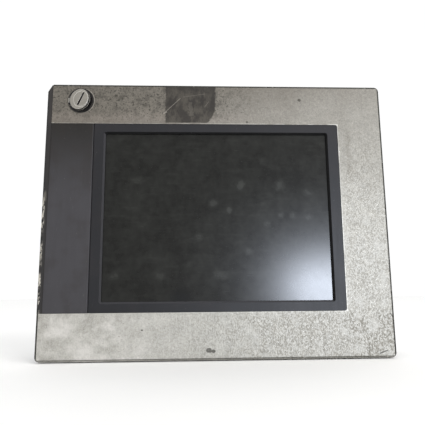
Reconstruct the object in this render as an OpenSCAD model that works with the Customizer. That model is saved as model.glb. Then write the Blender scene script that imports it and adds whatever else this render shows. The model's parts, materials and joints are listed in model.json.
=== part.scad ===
/* [Front plate] */
// Width of the front plate
plate_w = 375; // [330:1:460]
// Height of the front plate
plate_h = 300; // [280:1:370]
// Thickness of the front plate
plate_t = 6; // [6:0.5:9]
// Radius of the plate's corners
plate_r = 5; // [3:0.5:12]
// Bevel round the plate's front edge
plate_bevel = 1.3; // [0.5:0.1:2]
// Width of the dark strip let into the left edge
strip_w = 5.7; // [3:0.1:9]
// Height of the slanted cut at the top left corner
strip_cut = 9.5; // [5:0.5:15]
// Thickness of the edge strip
strip_t = 1.5; // [1:0.1:2]

/* [Display] */
// Width of the window at its front edge
window_w = 249.5; // [200:0.5:265]
// Height of the window at its front edge
window_h = 187; // [150:0.5:210]
// Display centre to the right of the plate's centre
display_x = 0.7; // [-5:0.1:5]
// Display centre above the plate's centre
display_z = 1.4; // [-5:0.1:5]
// Width of the bezel beside the window
bezel_side = 11.5; // [8:0.5:15]
// Width of the bezel above and below the window
bezel_top = 9.3; // [8:0.1:15]
// Slope of the window's edge, in plan
window_slope = 1.7; // [0.5:0.1:2.2]
// Radius of the window's corners
window_r = 2.6; // [2.6:0.1:6]
// Thickness of the bezel and the side insert
bezel_t = 2.4; // [1.5:0.1:3]
// Step from the plate's face down to the bezel
bezel_step = 0.3; // [0.1:0.1:0.8]
// Radius of the bezel's right corners
bezel_r = 2.6; // [1:0.1:6]
// Thickness of the touch glass
glass_t = 1.8; // [1:0.1:2]
// Lap of the touch glass behind the window's edge
glass_lap = 6.5; // [4:0.5:9]
// Thickness of the seal in front of the glass
glass_seal_t = 0.5; // [0.3:0.1:0.7]
// Thickness of the display module
lcd_t = 11; // [8:0.5:14]
// Margin of the display module round the window
lcd_margin_x = 13; // [8:0.5:14]
// Margin of the display module above and below the window
lcd_margin_z = 11; // [8:0.5:14]

/* [Service port] */
// Port centre from the plate's left edge
port_from_left = 36.8; // [28:0.1:45]
// Port centre from the plate's top edge
port_from_top = 19.2; // [19.2:0.1:25]
// Diameter of the dark ring
port_ring_d = 28.5; // [27:0.1:30]
// Height of the ring above the plate's face
port_ring_h = 0.5; // [0.3:0.1:1]
// Diameter of the hinged cover
port_cover_d = 24.3; // [23.5:0.1:24.5]
// Thickness of the hinged cover
port_cover_t = 2.4; // [2.2:0.1:2.6]
// Opening angle at which the cover stands
port_open = 18; // [0:1:60]
// Angle of the coin slot from upright
slot_lean = 28; // [20:1:60]
// Length of the coin slot
slot_l = 16; // [8:0.5:17]
// Width of the coin slot
slot_w = 2.5; // [1.5:0.1:3]
// Diameter of the turning latch's head
latch_d = 18; // [16:0.5:18.5]
// Outside diameter of the port's threaded barrel
barrel_d = 19; // [18.5:0.1:20]

/* [Seal and cut-out] */
// Width of the plate's rim outside the cabinet cut-out
rim_w = 7; // [6:0.5:9]
// Thickness of the panel seal
gasket_t = 2.5; // [2:0.1:3]
// How far the seal is let into the plate
gasket_sunk = 0.8; // [0.5:0.1:1.5]
// How far the seal shows past the plate's edge
gasket_proud = 0.6; // [0.2:0.1:1]

/* [Housing] */
// Gap between the cut-out and the housing's walls
housing_gap = 12.5; // [12.5:0.5:20]
// Depth of the housing behind the seal
housing_depth = 50; // [46:1:70]
// Thickness of the housing's sheet
sheet_t = 1.5; // [1:0.1:2]
// Width of the housing's turned-in flanges
flange_w = 9; // [8:0.5:12]
// Width of the housing's vent slots
vent_w = 2.5; // [2:0.5:3]
// Length of the rear cover's vent slots
vent_l = 34; // [20:1:40]

/* [Clamps] */
// Distance from an arm's pin to its thrust screw
clamp_reach = 11; // [10:0.5:12]
// Thickness of a clamp arm
clamp_t = 6; // [5:0.5:8]
// Width of a clamp arm
clamp_w = 9; // [8.5:0.1:9.5]
// Diameter of a clamp's pin
clamp_pin_d = 4; // [3.5:0.1:4.5]
// Diameter of a thrust screw
thrust_d = 5; // [4:0.5:5]
// Length of a thrust screw's shank
thrust_l = 20; // [16:1:24]
// Travel of a thrust screw, up to the thinnest cabinet wall
thrust_travel = 7; // [4:0.5:7]

/* [Hidden] */

$fn = 48;
clearance = 0.15;                                    // slip clearance of pieces let into the plate
running = 0.05;                                      // radial clearance of a pin in its bore
eps = 0.01;
plate_back = -(gasket_t - gasket_sunk);              // rear face of the plate
plate_front = plate_back - plate_t;                  // front face of the plate
cutout_w = plate_w - 2 * rim_w;
cutout_h = plate_h - 2 * rim_w;

bezel_front = plate_front + bezel_step;
pocket_floor = bezel_front + bezel_t;
bezel_right = display_x + window_w / 2 + bezel_side;
bezel_left = display_x - window_w / 2 - bezel_side;
bezel_low = display_z - window_h / 2 - bezel_top;
bezel_high = display_z + window_h / 2 + bezel_top;
bezel_h = bezel_high - bezel_low;
strip_x = -plate_w / 2 + strip_w;                    // inner edge of the edge strip
edge_break = 0.6;                                    // bevel where the insert meets the bezel
window_open_w = window_w - 2 * window_slope + 3;     // opening through the plate behind the bezel
window_open_h = window_h - 2 * window_slope + 3;
glass_w = window_w - 2 * window_slope + 2 * glass_lap;
glass_h = window_h - 2 * window_slope + 2 * glass_lap;
glass_back = plate_back - 0.2;
glass_front = glass_back - glass_t;
seal_front = glass_front - glass_seal_t;

lcd_front = plate_back + 0.2;
lcd_w = window_w + 2 * lcd_margin_x;
lcd_h = window_h + 2 * lcd_margin_z;
lcd_view_w = window_w;
lcd_view_h = window_h;
lcd_lip = 1.2;                                       // sheet of the display's front frame
lcd_cell_t = 2.4;

housing_w = cutout_w - 2 * housing_gap;
housing_h = cutout_h - 2 * housing_gap;
housing_floor = -housing_h / 2;
housing_rear = housing_depth;
cover_rear = housing_rear + sheet_t;

port_x = -plate_w / 2 + port_from_left;
port_z = plate_h / 2 - port_from_top;
cup_d = port_ring_d - 0.4;                           // part of the ring let into the plate
seat_d = port_cover_d + 0.5;                         // bore that the closed cover lies in
seat_depth = 1.9;                                    // ledge under the cover, below the plate's face
cup_bore_d = 20;                                     // bore below the ledge
cup_depth = 4.3;
cup_floor_t = 0.8;
barrel_bore_d = barrel_d - 3.2;
barrel_rear = plate_back + 9;
nut_t = 4;
nut_d = barrel_d + 4.8;
notch_x = port_x + nut_d / 2 + 4;                    // housing corner cut away round the port
notch_z = port_z - nut_d / 2 - 5;

cover_gap = 0.15;                                    // cover's back above the ledge
cover_back = cover_gap - seat_depth;
hinge_out = 0.85;                                    // hinge pin's axis past the cover's rim
hinge_pin_d = 0.8;
knuckle_d = 1.8;
hinge_h = -0.1;                                      // hinge pin's axis above the plate's face
knuckle_l = 5;
latch_off = 1.8;                                     // latch centre beyond the cover's centre
latch_head_t = 1.6;
slot_depth = 1.2;
stem_d = 5;
tongue_t = 1.1;
tongue_w = 3.4;
tongue_l = 7.4;
keeper_t = 0.7;
keeper_in = 2.4;
keeper_turn = 14;                                    // keeper's angle above the ring's right side

bracket_y = lcd_front + lcd_t + 1.5;
board_w = 262;
bracket_w = max(lcd_w + 10, board_w + 4);
bracket_h = lcd_h + 6;
bracket_foot = 12;
board_h = 168;
board_t = 1.6;
standoff_l = 9.5;
board_y = bracket_y + sheet_t + standoff_l;
board_back = board_y + board_t;
board_low = housing_floor + sheet_t + 3.5;
board_hole = 5;
board_hole_low = 25;
screw_r = 1.5;                                       // M3 screws
screw_hole_r = 1.65;
head_r = 2.8;
head_t = 2;

power_x = -98;
power_w = 17;
power_t = 11;
ethernet_x = [-62, -42];
ethernet_w = 16;
ethernet_t = 13.5;
ethernet_l = 21;
usb_x = [-16, 3];
usb_w = 14.4;
usb_t = 7;
usb_l = 17;
serial_x = 40;
serial_w = 31;
serial_t = 12.6;
card_x = 86;
card_w = 42.8;
card_t = 3.3;
card_l = 36.4;
card_y = board_back + 2.2;
card_out = 4;                                        // card's edge past the housing's floor
eject_x = card_x + card_w / 2 + 6;
reset_x = eject_x + 9;
socket_face = housing_floor - 0.6;                   // sockets look through the housing's floor
fit_gap = 0.4;                                       // round each socket in its opening
earth_x = -housing_w / 2 + 22;
earth_y = 20;
earth_d = 5;
earth_l = 12;
earth_base_d = 6;                                    // thicker part in the nut
earth_base_l = 4.5;

clamp_in = 7;                                        // pin axis inside the cut-out's edge
clamp_y = 8;                                         // front of the arms, behind the thickest wall
lug_t = 1.5;
lug_gap = 0.25;
lug_w = 10;
// each clamp: [x, z, turn about Y]; at turn 0 it sits on the right wall and is parked upwards
clamps = [[cutout_w / 2 - clamp_in, -20, 0], [136, -cutout_h / 2 + clamp_in, 90],
    [-132, -cutout_h / 2 + clamp_in, 90], [-cutout_w / 2 + clamp_in, 20, 180],
    [-60, cutout_h / 2 - clamp_in, 270], [118, cutout_h / 2 - clamp_in, 270]];

// ---- helpers: local Z points out of the front, local Y is up ----
module out_of_front(y) {
    translate([0, y, 0]) rotate([90, 0, 0]) children();
}

// a flat outline, given in X and Z, made t thick from y backwards
module sheet(y, t) {
    translate([0, y + t, 0]) rotate([90, 0, 0]) linear_extrude(t) children();
}

module rounded(w, h, r) {
    square([w - 2 * r, h], center = true);
    square([w, h - 2 * r], center = true);
    for (sx = [-1, 1], sy = [-1, 1])
        translate([sx * (w / 2 - r), sy * (h / 2 - r)]) circle(r);
}

// a rounded rectangle whose sides lean in by lean over its thickness
module tapered(w, h, r, t, lean) {
    rotate([90, 0, 90]) translate([0, 0, r - w / 2]) linear_extrude(w - 2 * r)
        polygon([[-h / 2, 0], [h / 2, 0], [h / 2 - lean, t], [lean - h / 2, t]]);
    rotate([90, 0, 0]) translate([0, 0, r - h / 2]) linear_extrude(h - 2 * r)
        polygon([[-w / 2, 0], [w / 2, 0], [w / 2 - lean, t], [lean - w / 2, t]]);
    for (sx = [-1, 1], sy = [-1, 1])
        translate([sx * (w / 2 - r), sy * (h / 2 - r), 0]) cylinder(r1 = r, r2 = r - lean, h = t);
}

// a cylinder along Y from y0 to y1 at (x, z)
module rod(x, z, d, y0, y1) {
    translate([x, y1, z]) rotate([90, 0, 0]) cylinder(d = d, h = y1 - y0);
}

// a screw along Y: its head stands on y_head and its shank runs towards point
module screw(x, z, y_head, point, r = screw_r) {
    translate([x, y_head, z]) rotate([point > y_head ? -90 : 90, 0, 0]) union() {
        cylinder(r = r, h = abs(point - y_head));
        difference() {
            translate([0, 0, -head_t]) cylinder(r1 = head_r - 0.5, r2 = head_r, h = head_t);
            translate([0, 0, -head_t - eps]) cylinder(r = 1.2, h = head_t * 0.6, $fn = 6);
        }
    }
}

// ---- front ----
// outline of the left strip's place: its top end follows the plate's slanted corner
module strip_outline(grow) {
    polygon([[-plate_w / 2 - 1, bezel_low - grow], [strip_x + grow, bezel_low - grow],
        [strip_x + grow, plate_h / 2 + 1], [-plate_w / 2 - 1, plate_h / 2 + 1]]);
}

module corner_cut() {
    slope = strip_cut / strip_w;
    sheet(plate_front - 1, plate_t + 3)
        polygon([[-plate_w / 2 - 1, plate_h / 2 - strip_cut - slope], [strip_x + 1, plate_h / 2 + slope],
            [-plate_w / 2 - 1, plate_h / 2 + slope]]);
}

module front_pocket_outline(grow) {
    r = bezel_r + grow;
    right = bezel_right + grow;
    low = bezel_low - grow;
    high = bezel_high + grow;
    translate([strip_x - 1, low]) square([right - r - strip_x + 1, high - low]);
    translate([right - r - 1, low + r]) square([r + 1, high - low - 2 * r]);
    for (z = [low + r, high - r])
        translate([right - r, z]) circle(r);
}

housing_screw_x = [-housing_w / 2 + sheet_t + flange_w / 2, housing_w / 2 - sheet_t - flange_w / 2];
housing_screw_at = concat([for (x = housing_screw_x, z = [-80, 0, 80]) [x, z]],
    [for (x = [-70, 70], s = [-1, 1]) [x, s * (housing_h / 2 - sheet_t - flange_w / 2)]]);
bracket_screw_at = [for (sx = [-1, 1], sz = [-1, 1])
    [display_x + sx * (bracket_w / 2 + bracket_foot / 2), display_z + sz * 70]];

module front_plate() {
    color("silver") difference() {
        union() {
            sheet(plate_front + plate_bevel, plate_t - plate_bevel) rounded(plate_w, plate_h, plate_r);
            out_of_front(plate_front + plate_bevel)
                tapered(plate_w, plate_h, plate_r, plate_bevel, plate_bevel);
        }
        corner_cut();
        sheet(plate_front - 1, strip_t + 1) strip_outline(0);
        sheet(plate_front - 1, pocket_floor - plate_front + 1) front_pocket_outline(clearance);
        // through the window, and the glass's place behind it
        translate([display_x, 0, display_z]) sheet(plate_front - 1, plate_t + 2)
            rounded(window_open_w, window_open_h, window_r);
        translate([display_x, 0, display_z]) sheet(seal_front, plate_t)
            rounded(glass_w + 2 * clearance, glass_h + 2 * clearance, window_r);
        // the service port's counterbore and hole
        rod(port_x, port_z, cup_d + 2 * clearance, plate_front - 1, plate_front + cup_depth + cup_floor_t);
        rod(port_x, port_z, barrel_d + 2 * clearance, plate_front, plate_back + 1);
        // rebate for the panel seal
        sheet(plate_back - gasket_sunk, gasket_sunk + 1) difference() {
            square([plate_w + 2, plate_h + 2], center = true);
            rounded(cutout_w, cutout_h, 2);
        }
        for (p = concat(housing_screw_at, bracket_screw_at))
            rod(p[0], p[1], 2 * screw_r, plate_back - 2.6, plate_back + 1);
    }
}

module edge_strip() {
    round_r = 1.2;
    width = strip_w - 0.05;
    thick = strip_t - 0.02;
    color([0.13, 0.12, 0.11]) difference() {
        translate([-plate_w / 2, plate_front, bezel_low])
            linear_extrude(plate_h / 2 - plate_bevel - bezel_low) intersection() {
                square([width, thick]);
                union() {
                    translate([round_r, 0]) square([width, thick]);
                    translate([0, round_r]) square([width, thick]);
                    translate([round_r, round_r]) circle(round_r);
                }
            }
        corner_cut();
    }
}

module side_insert() {
    w = bezel_left - clearance / 2 - strip_x;
    h = bezel_h;
    color([0.27, 0.26, 0.27]) difference() {
        translate([strip_x, bezel_front, bezel_low]) cube([w, bezel_t, h]);
        // bevelled right edge, one side of the groove towards the bezel
        translate([strip_x + w, bezel_front, bezel_low - 1]) rotate([0, 0, 45])
            translate([-edge_break, -edge_break, 0]) cube([2 * edge_break, 2 * edge_break, h + 2]);
        // pull notch at the hidden back
        translate([strip_x + w / 2 - 8, bezel_front + bezel_t - 1, bezel_low - 1]) cube([16, 2, 6]);
    }
}

module display_bezel() {
    color([0.25, 0.24, 0.26]) difference() {
        sheet(bezel_front, bezel_t) intersection() {
            front_pocket_outline(0);
            translate([bezel_left + clearance / 2, -plate_h / 2]) square([plate_w, plate_h]);
        }
        translate([bezel_left + clearance / 2, bezel_front, bezel_low - 1]) rotate([0, 0, 45])
            translate([-edge_break, -edge_break, 0]) cube([2 * edge_break, 2 * edge_break, bezel_h + 2]);
        // sloped window, cut past both faces
        translate([display_x, 0, display_z]) out_of_front(bezel_front + bezel_t) tapered_window();
    }
}

// the window widens towards the front by window_slope over the bezel's thickness
module tapered_window() {
    past = 0.1;
    lean = past * window_slope / bezel_t;
    inset = window_slope + lean;
    r = window_r - inset;
    translate([0, 0, -past]) hull() for (sx = [-1, 1], sy = [-1, 1])
        translate([sx * (window_w / 2 - inset - r), sy * (window_h / 2 - inset - r), 0])
            cylinder(r1 = r, r2 = window_r + lean, h = bezel_t + 2 * past);
}

module touch_seal() {
    color([0.08, 0.08, 0.08]) translate([display_x, 0, display_z])
        sheet(seal_front, glass_seal_t) difference() {
            rounded(glass_w - 1, glass_h - 1, window_r);
            rounded(window_open_w + 1, window_open_h + 1, window_r);
        }
}

module touch_glass() {
    color([0.16, 0.17, 0.16]) translate([display_x, 0, display_z])
        sheet(glass_front, glass_t) rounded(glass_w, glass_h, window_r);
}

module panel_gasket() {
    color([0.06, 0.06, 0.06]) difference() {
        sheet(-gasket_t, gasket_t) difference() {
            rounded(plate_w + 2 * gasket_proud, plate_h + 2 * gasket_proud, plate_r + gasket_proud);
            rounded(cutout_w, cutout_h, 2);
        }
        corner_cut();
    }
}

// ---- display module ----
module lcd_frame() {
    color([0.6, 0.6, 0.58]) translate([display_x, 0, display_z]) {
        sheet(lcd_front, lcd_lip) difference() {
            square([lcd_w, lcd_h], center = true);
            square([lcd_view_w, lcd_view_h], center = true);
        }
        sheet(lcd_front, lcd_t - 1) difference() {
            square([lcd_w, lcd_h], center = true);
            square([lcd_w - 1.2, lcd_h - 1.2], center = true);
        }
    }
}

module lcd_cell() {
    color([0.1, 0.1, 0.11]) translate([display_x, 0, display_z])
        sheet(lcd_front + lcd_lip, lcd_cell_t) square([lcd_w - 4, lcd_h - 4], center = true);
}

module lcd_backlight() {
    depth = lcd_t - lcd_lip - lcd_cell_t;
    color([0.85, 0.85, 0.82]) translate([display_x, 0, display_z]) {
        sheet(lcd_front + lcd_lip + lcd_cell_t, depth) square([lcd_w - 2, lcd_h - 2], center = true);
    }
}

module display_bracket() {
    foot = bracket_foot;
    color([0.72, 0.72, 0.7]) translate([display_x, 0, display_z]) difference() {
        union() {
            sheet(bracket_y, sheet_t) square([bracket_w, bracket_h], center = true);
            for (s = [-1, 1]) {
                sheet(plate_back, bracket_y - plate_back + sheet_t)
                    translate([s * (bracket_w / 2 - sheet_t / 2), 0])
                        square([sheet_t, bracket_h - 20], center = true);
                sheet(plate_back, sheet_t) translate([s * (bracket_w / 2 + foot / 2 - eps), 0])
                    square([foot, bracket_h - 20], center = true);
            }
        }
        for (sx = [-1, 1], sz = [-1, 1])
            rod(sx * (bracket_w / 2 + foot / 2), sz * 70, 2 * screw_hole_r, plate_back - 1, plate_back + 3);
        for (x = [-90, 0, 90])
            rod(x, 55, 30, bracket_y - 1, bracket_y + sheet_t + 1);
    }
}

module bracket_screws() {
    color([0.75, 0.75, 0.75]) for (p = bracket_screw_at)
        screw(p[0], p[1], plate_back + sheet_t, plate_back - 2.4);
}

module inverter_board() {
    w = 128;
    h = 24;
    z = display_z + bracket_h / 2 - h / 2 - 5;
    y = bracket_y + sheet_t;
    color([0.1, 0.35, 0.2]) translate([0, 0, z]) {
        sheet(y + 4, board_t) square([w, h], center = true);
        for (sx = [-1, 1])
            rod(sx * (w / 2 - 5), 0, 5, y, y + 4 + eps);
        sheet(y + 4 + board_t - eps, 7) translate([-30, 0]) square([26, 16], center = true);
        sheet(y + 4 + board_t - eps, 5) translate([34, 0]) square([18, 12], center = true);
        rod(8, 0, 8, y + 4 + board_t - eps, y + 13);
    }
}

// ---- main board ----
board_hole_at = [for (sx = [-1, 1], z = [board_low + board_hole_low, board_low + board_h - board_hole])
    [sx * (board_w / 2 - board_hole), z]];

module main_board() {
    color([0.08, 0.32, 0.18]) sheet(board_y, board_t) difference() {
        translate([-board_w / 2, board_low]) square([board_w, board_h]);
        for (p = board_hole_at)
            translate(p) circle(screw_hole_r);
    }
}

// hexagonal pillars on the bracket
module board_standoffs() {
    color([0.8, 0.7, 0.4]) for (p = board_hole_at)
        difference() {
            translate([p[0], board_y, p[1]]) rotate([90, 0, 0]) cylinder(r = 3.2, h = standoff_l, $fn = 6);
            rod(p[0], p[1], 2 * screw_r, board_y - 6, board_y + 1);
        }
}

module board_screws() {
    color([0.75, 0.75, 0.75]) for (p = board_hole_at)
        screw(p[0], p[1], board_back, board_y - 5);
}

module board_chip(x, z, w, h, t) {
    sheet(board_back, t) translate([x, z]) square([w, h], center = true);
}

chip_z = board_low + board_h * 0.62;
module board_chips() {
    color([0.09, 0.09, 0.1]) {
        board_chip(-62, chip_z, 30, 30, 2.4);
        board_chip(-20, chip_z, 20, 20, 1.8);
        board_chip(-12, chip_z - 32, 16, 10, 1.4);
        board_chip(14, chip_z - 32, 16, 10, 1.4);
        board_chip(-104, chip_z - 10, 12, 20, 1.6);
        for (z = [-40, -24])
            rod(-100, chip_z + z, 8, board_back, board_back + 11);
        // switch above the reset button
        translate([reset_x - 3, board_back, housing_floor + 7.5]) cube([6, 6, 6]);
    }
}

module heat_sink() {
    w = 46;
    y = board_back + 2.4;
    fins = 8;
    pitch = w / fins;
    color([0.5, 0.5, 0.52]) translate([-62, 0, chip_z]) {
        sheet(y, 3) square([w, w], center = true);
        for (i = [0 : fins - 1])
            sheet(y + 3 - eps, 11) translate([-w / 2 + i * pitch, -w / 2]) square([1.6, w]);
    }
}

module memory_module() {
    color([0.1, 0.38, 0.22]) translate([48, 0, chip_z]) {
        sheet(board_back, 4) translate([0, -18]) square([70, 6], center = true);
        sheet(board_back + 4 - eps, 1) square([67.6, 30], center = true);
        for (x = [-22, 0, 22])
            sheet(board_back + 5 - 2 * eps, 1.2) translate([x, 2]) square([12, 14], center = true);
    }
}

battery_at = [104, chip_z + 2];
module battery_holder() {
    color([0.12, 0.12, 0.12]) difference() {
        rod(battery_at[0], battery_at[1], 24, board_back, board_back + 5);
        rod(battery_at[0], battery_at[1], 20.2, board_back + 1.4, board_back + 6);
    }
}

module battery() {
    color([0.8, 0.8, 0.78]) rod(battery_at[0], battery_at[1], 20, board_back + 1.4, board_back + 4.6);
}

// flat ribbon from the display's back, out through the bracket's middle hole and up to the board
module display_cable() {
    y0 = lcd_front + lcd_t;
    end_z = min(display_z + 40, board_low + board_h - 1);   // reaches onto the board
    color([0.75, 0.75, 0.72]) {
        sheet(y0, board_y - y0)
            translate([display_x, display_z + 55]) square([18, 1], center = true);
        sheet(board_y - 1, 1) translate([display_x - 9, end_z]) square([18, display_z + 55.5 - end_z]);
    }
}

// ---- housing ----
module housing_outline(inset, notch_inset) {
    w = housing_w / 2 - inset;
    h = housing_h / 2 - inset;
    difference() {
        square([2 * w, 2 * h], center = true);
        translate([-housing_w / 2 - 1, notch_z - notch_inset])
            square([notch_x + notch_inset + housing_w / 2 + 1, housing_h]);
    }
}

// hole through the floor for a socket of width w and thickness t standing on the main board
module floor_hole(x, w, t, y = board_back) {
    translate([x - w / 2 - fit_gap, y - fit_gap, housing_floor - 1])
        cube([w + 2 * fit_gap, t + 2 * fit_gap, sheet_t + 2]);
}

module clamp_lugs(turn) {
    wall = clamp_in - housing_gap;
    rotate([0, turn, 0]) for (y = [clamp_y - lug_gap - lug_t, clamp_y + clamp_t + lug_gap])
        difference() {
            union() {
                translate([wall - eps, y, -lug_w / 2]) cube([-wall + eps, lug_t, lug_w]);
                rod(0, 0, lug_w, y, y + lug_t);
            }
            rod(0, 0, clamp_pin_d, y - 1, y + lug_t + 1);
        }
}

module rear_housing() {
    color([0.66, 0.67, 0.66]) difference() {
        union() {
            sheet(plate_back, housing_rear - plate_back) difference() {
                housing_outline(0, 0);
                housing_outline(sheet_t, sheet_t);
            }
            for (y = [plate_back, housing_rear - sheet_t])
                sheet(y, sheet_t) difference() {
                    housing_outline(eps, eps);
                    housing_outline(sheet_t + flange_w, sheet_t + 2);
                }
            for (c = clamps)
                translate([c[0], 0, c[1]]) clamp_lugs(c[2]);
        }
        for (p = housing_screw_at)
            rod(p[0], p[1], 2 * screw_hole_r, plate_back - 1, plate_back + sheet_t + 1);
        for (p = cover_screw_at)
            rod(p[0], p[1], 2 * screw_r, housing_rear - sheet_t - 1, housing_rear + 1);
        floor_hole(power_x, power_w, power_t);
        for (x = ethernet_x)
            floor_hole(x, ethernet_w, ethernet_t);
        for (x = usb_x)
            floor_hole(x, usb_w, usb_t);
        floor_hole(serial_x, 19, 10, board_back + 1.3);
        floor_hole(card_x, card_w, card_t, card_y);
        floor_hole(eject_x, 4, card_t, card_y);
        translate([reset_x, card_y + card_t / 2, housing_floor - 1]) cylinder(d = 4, h = 4);
        translate([earth_x, earth_y, housing_floor - 1]) cylinder(d = earth_base_d + 0.2, h = 4);
        // vents in the top
        for (i = [0 : 13])
            translate([-40 + i * 12, 18, housing_h / 2 - sheet_t - 1]) cube([vent_w, 24, sheet_t + 2]);
        // lead's hole in the corner's ledge
        translate([port_x, lead_y, notch_z - sheet_t - 1]) cylinder(d = lead_d + 2 * fit_gap, h = sheet_t + 2);
    }
}

module housing_screws() {
    color([0.75, 0.75, 0.75]) for (p = housing_screw_at)
        screw(p[0], p[1], plate_back + sheet_t, plate_back - 2.4);
}

cover_inset = sheet_t + flange_w / 2;
cover_screw_at = concat(
    [for (x = [-60, 40, 130]) [x, housing_h / 2 - cover_inset]],
    [for (x = [-130, -40, 40, 130]) [x, cover_inset - housing_h / 2]],
    [for (s = [-1, 1]) [s * (housing_w / 2 - cover_inset), -20]]);

module rear_cover() {
    rows = [-62, -16, 30];
    color([0.7, 0.71, 0.7]) sheet(housing_rear, sheet_t) difference() {
        housing_outline(0.3, 0.3);
        for (p = cover_screw_at)
            translate(p) circle(screw_hole_r);
        for (z = rows, i = [0 : 15])
            translate([-100 + i * 8, z]) square([vent_w, vent_l]);
    }
}

module cover_screws() {
    color([0.75, 0.75, 0.75]) for (p = cover_screw_at)
        screw(p[0], p[1], cover_rear, housing_rear - 5);
}

module rating_plate() {
    color([0.85, 0.85, 0.86]) translate([95, 0, 25]) sheet(cover_rear, 0.4) rounded(84, 52, 2);
}

// ---- sockets along the floor; each stands on the main board and looks down ----
module socket_block(x, w, t, l, y = board_back) {
    translate([x - w / 2, y, socket_face]) cube([w, t, l]);
}

module power_header() {
    color([0.1, 0.35, 0.15]) difference() {
        socket_block(power_x, power_w, power_t, 12);
        socket_block(power_x, power_w - 2, power_t - 2, 8 - eps, board_back + 1);
    }
}

module power_plug() {
    poles = 3;
    pitch = 5.08;
    low = housing_floor - 9;
    color([0.12, 0.42, 0.18]) difference() {
        translate([power_x - power_w / 2 + 1.15, board_back + 1.15, low])
            cube([power_w - 2.3, power_t - 2.3, socket_face + 7.8 - low]);
        for (i = [0 : poles - 1]) {
            translate([power_x + (i - 1) * pitch, board_back + 3.8, low - 1]) cylinder(d = 3, h = 9);
            rod(power_x + (i - 1) * pitch, low + 4, 3, board_back + 7, board_back + power_t);
        }
    }
}

module ethernet_sockets() {
    color([0.7, 0.7, 0.7]) for (x = ethernet_x)
        difference() {
            socket_block(x, ethernet_w, ethernet_t, ethernet_l);
            translate([x - 5.9, board_back + 3, socket_face - 1]) cube([11.8, 7.4, 13]);
            translate([x - 3, board_back + 10, socket_face - 1]) cube([6, 1.8, 13]);
        }
}

module usb_shell(w, t, l) {
    difference() {
        cube([w, t, l]);
        translate([0.65, 0.7, -1]) cube([w - 1.3, t - 1.4, l - 1]);
    }
    translate([1.6, t - 3.4, 0.8]) cube([w - 3.2, 1.9, l - 1]);
}

module usb_sockets() {
    color([0.75, 0.75, 0.76]) for (x = usb_x)
        translate([x - usb_w / 2, board_back, socket_face]) usb_shell(usb_w, usb_t, usb_l);
}

// nine-pole socket: a flange inside the floor, with its shell through the floor
module serial_socket() {
    y = board_back + serial_t / 2;
    color([0.74, 0.74, 0.72]) {
        translate([serial_x - serial_w / 2, board_back, housing_floor + sheet_t])
            cube([serial_w, serial_t, 9]);
        difference() {
            translate([serial_x - 8.5, y - 4.2, housing_floor - 4.5]) cube([17, 8.4, 8]);
            translate([serial_x - 7.9, y - 3.6, housing_floor - 5.5]) cube([15.8, 7.2, 6]);
        }
        for (i = [0 : 8])
            translate([serial_x + (i < 5 ? i - 2 : i - 6.5) * 2.77, y + (i < 5 ? -1.4 : 1.4),
                housing_floor - 4]) cylinder(d = 1, h = 6);
    }
}

module card_socket() {
    side = 1.4;
    slip = 0.2;
    inside = housing_floor + sheet_t + 1;
    right = card_x + card_w / 2 + slip + side;
    guide_l = 8;
    color([0.13, 0.13, 0.14]) difference() {
        union() {
            translate([card_x - card_w / 2 - side - slip, board_back, inside])
                cube([card_w + 2 * (side + slip), card_t + 4, card_l]);
            // guide of the eject button's stem
            translate([right - eps, board_back, inside + 10])
                cube([eject_x + 3 - right, card_t + 4, guide_l]);
        }
        translate([card_x - card_w / 2 - slip, card_y - slip, inside - 1])
            cube([card_w + 2 * slip, card_t + 2 * slip, card_l - 2]);
        translate([eject_x - stem_w / 2 - slip, card_y + stem_in - slip, inside + 9])
            cube([stem_w + 2 * slip, card_t - 2 * stem_in + 2 * slip, guide_l + 2]);
    }
}

module memory_card() {
    low = housing_floor - card_out;
    color([0.2, 0.22, 0.26]) difference() {
        translate([card_x - card_w / 2, card_y, low]) cube([card_w, card_t, card_l]);
        translate([card_x - 8, card_y + card_t - 0.6, low + 1]) cube([16, 1, 2]);
    }
}

// the button's stem is slimmer than its head
stem_w = 2.4;
stem_in = 0.8;
module eject_button() {
    color([0.1, 0.1, 0.1]) {
        translate([eject_x - 2, card_y, housing_floor - 7.5]) cube([4, card_t, 3]);
        translate([eject_x - stem_w / 2, card_y + stem_in, housing_floor - 4.5 - eps])
            cube([stem_w, card_t - 2 * stem_in, 30]);
    }
}

module reset_button() {
    color([0.75, 0.2, 0.15]) translate([reset_x, card_y + card_t / 2, housing_floor - 1.2]) {
        cylinder(d = 3.4, h = 5.2);
        translate([0, 0, 5.2 - eps]) cylinder(d = 5, h = 1.5);
    }
}

module earth_stud() {
    color([0.85, 0.83, 0.75]) translate([earth_x, earth_y, housing_floor]) {
        translate([0, 0, -earth_l]) cylinder(d = earth_d, h = earth_l);
        translate([0, 0, -earth_base_l]) cylinder(d = earth_base_d, h = earth_base_l + sheet_t);
        translate([0, 0, sheet_t]) cylinder(d = 10, h = 2);
    }
}

module earth_nut() {
    color([0.8, 0.8, 0.8]) translate([earth_x, earth_y, housing_floor]) difference() {
        union() {
            translate([0, 0, -1]) cylinder(d = 12, h = 1);
            translate([0, 0, -4.5]) cylinder(d = 11.5, h = 3.6, $fn = 6);
        }
        translate([0, 0, -6]) cylinder(d = earth_base_d, h = 8);
    }
}

// ---- clamps ----
module clamp_pin() {
    y0 = clamp_y - lug_gap - lug_t;
    y1 = clamp_y + clamp_t + lug_gap + lug_t;
    rod(0, 0, clamp_pin_d, y0 - eps, y1 + eps);
    rod(0, 0, clamp_pin_d + 2.4, y0 - 1, y0);
    rod(0, 0, clamp_pin_d + 2.4, y1, y1 + 1);
}

module clamp_pins() {
    color([0.8, 0.8, 0.8]) for (c = clamps)
        translate([c[0], 0, c[1]]) clamp_pin();
}

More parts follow.
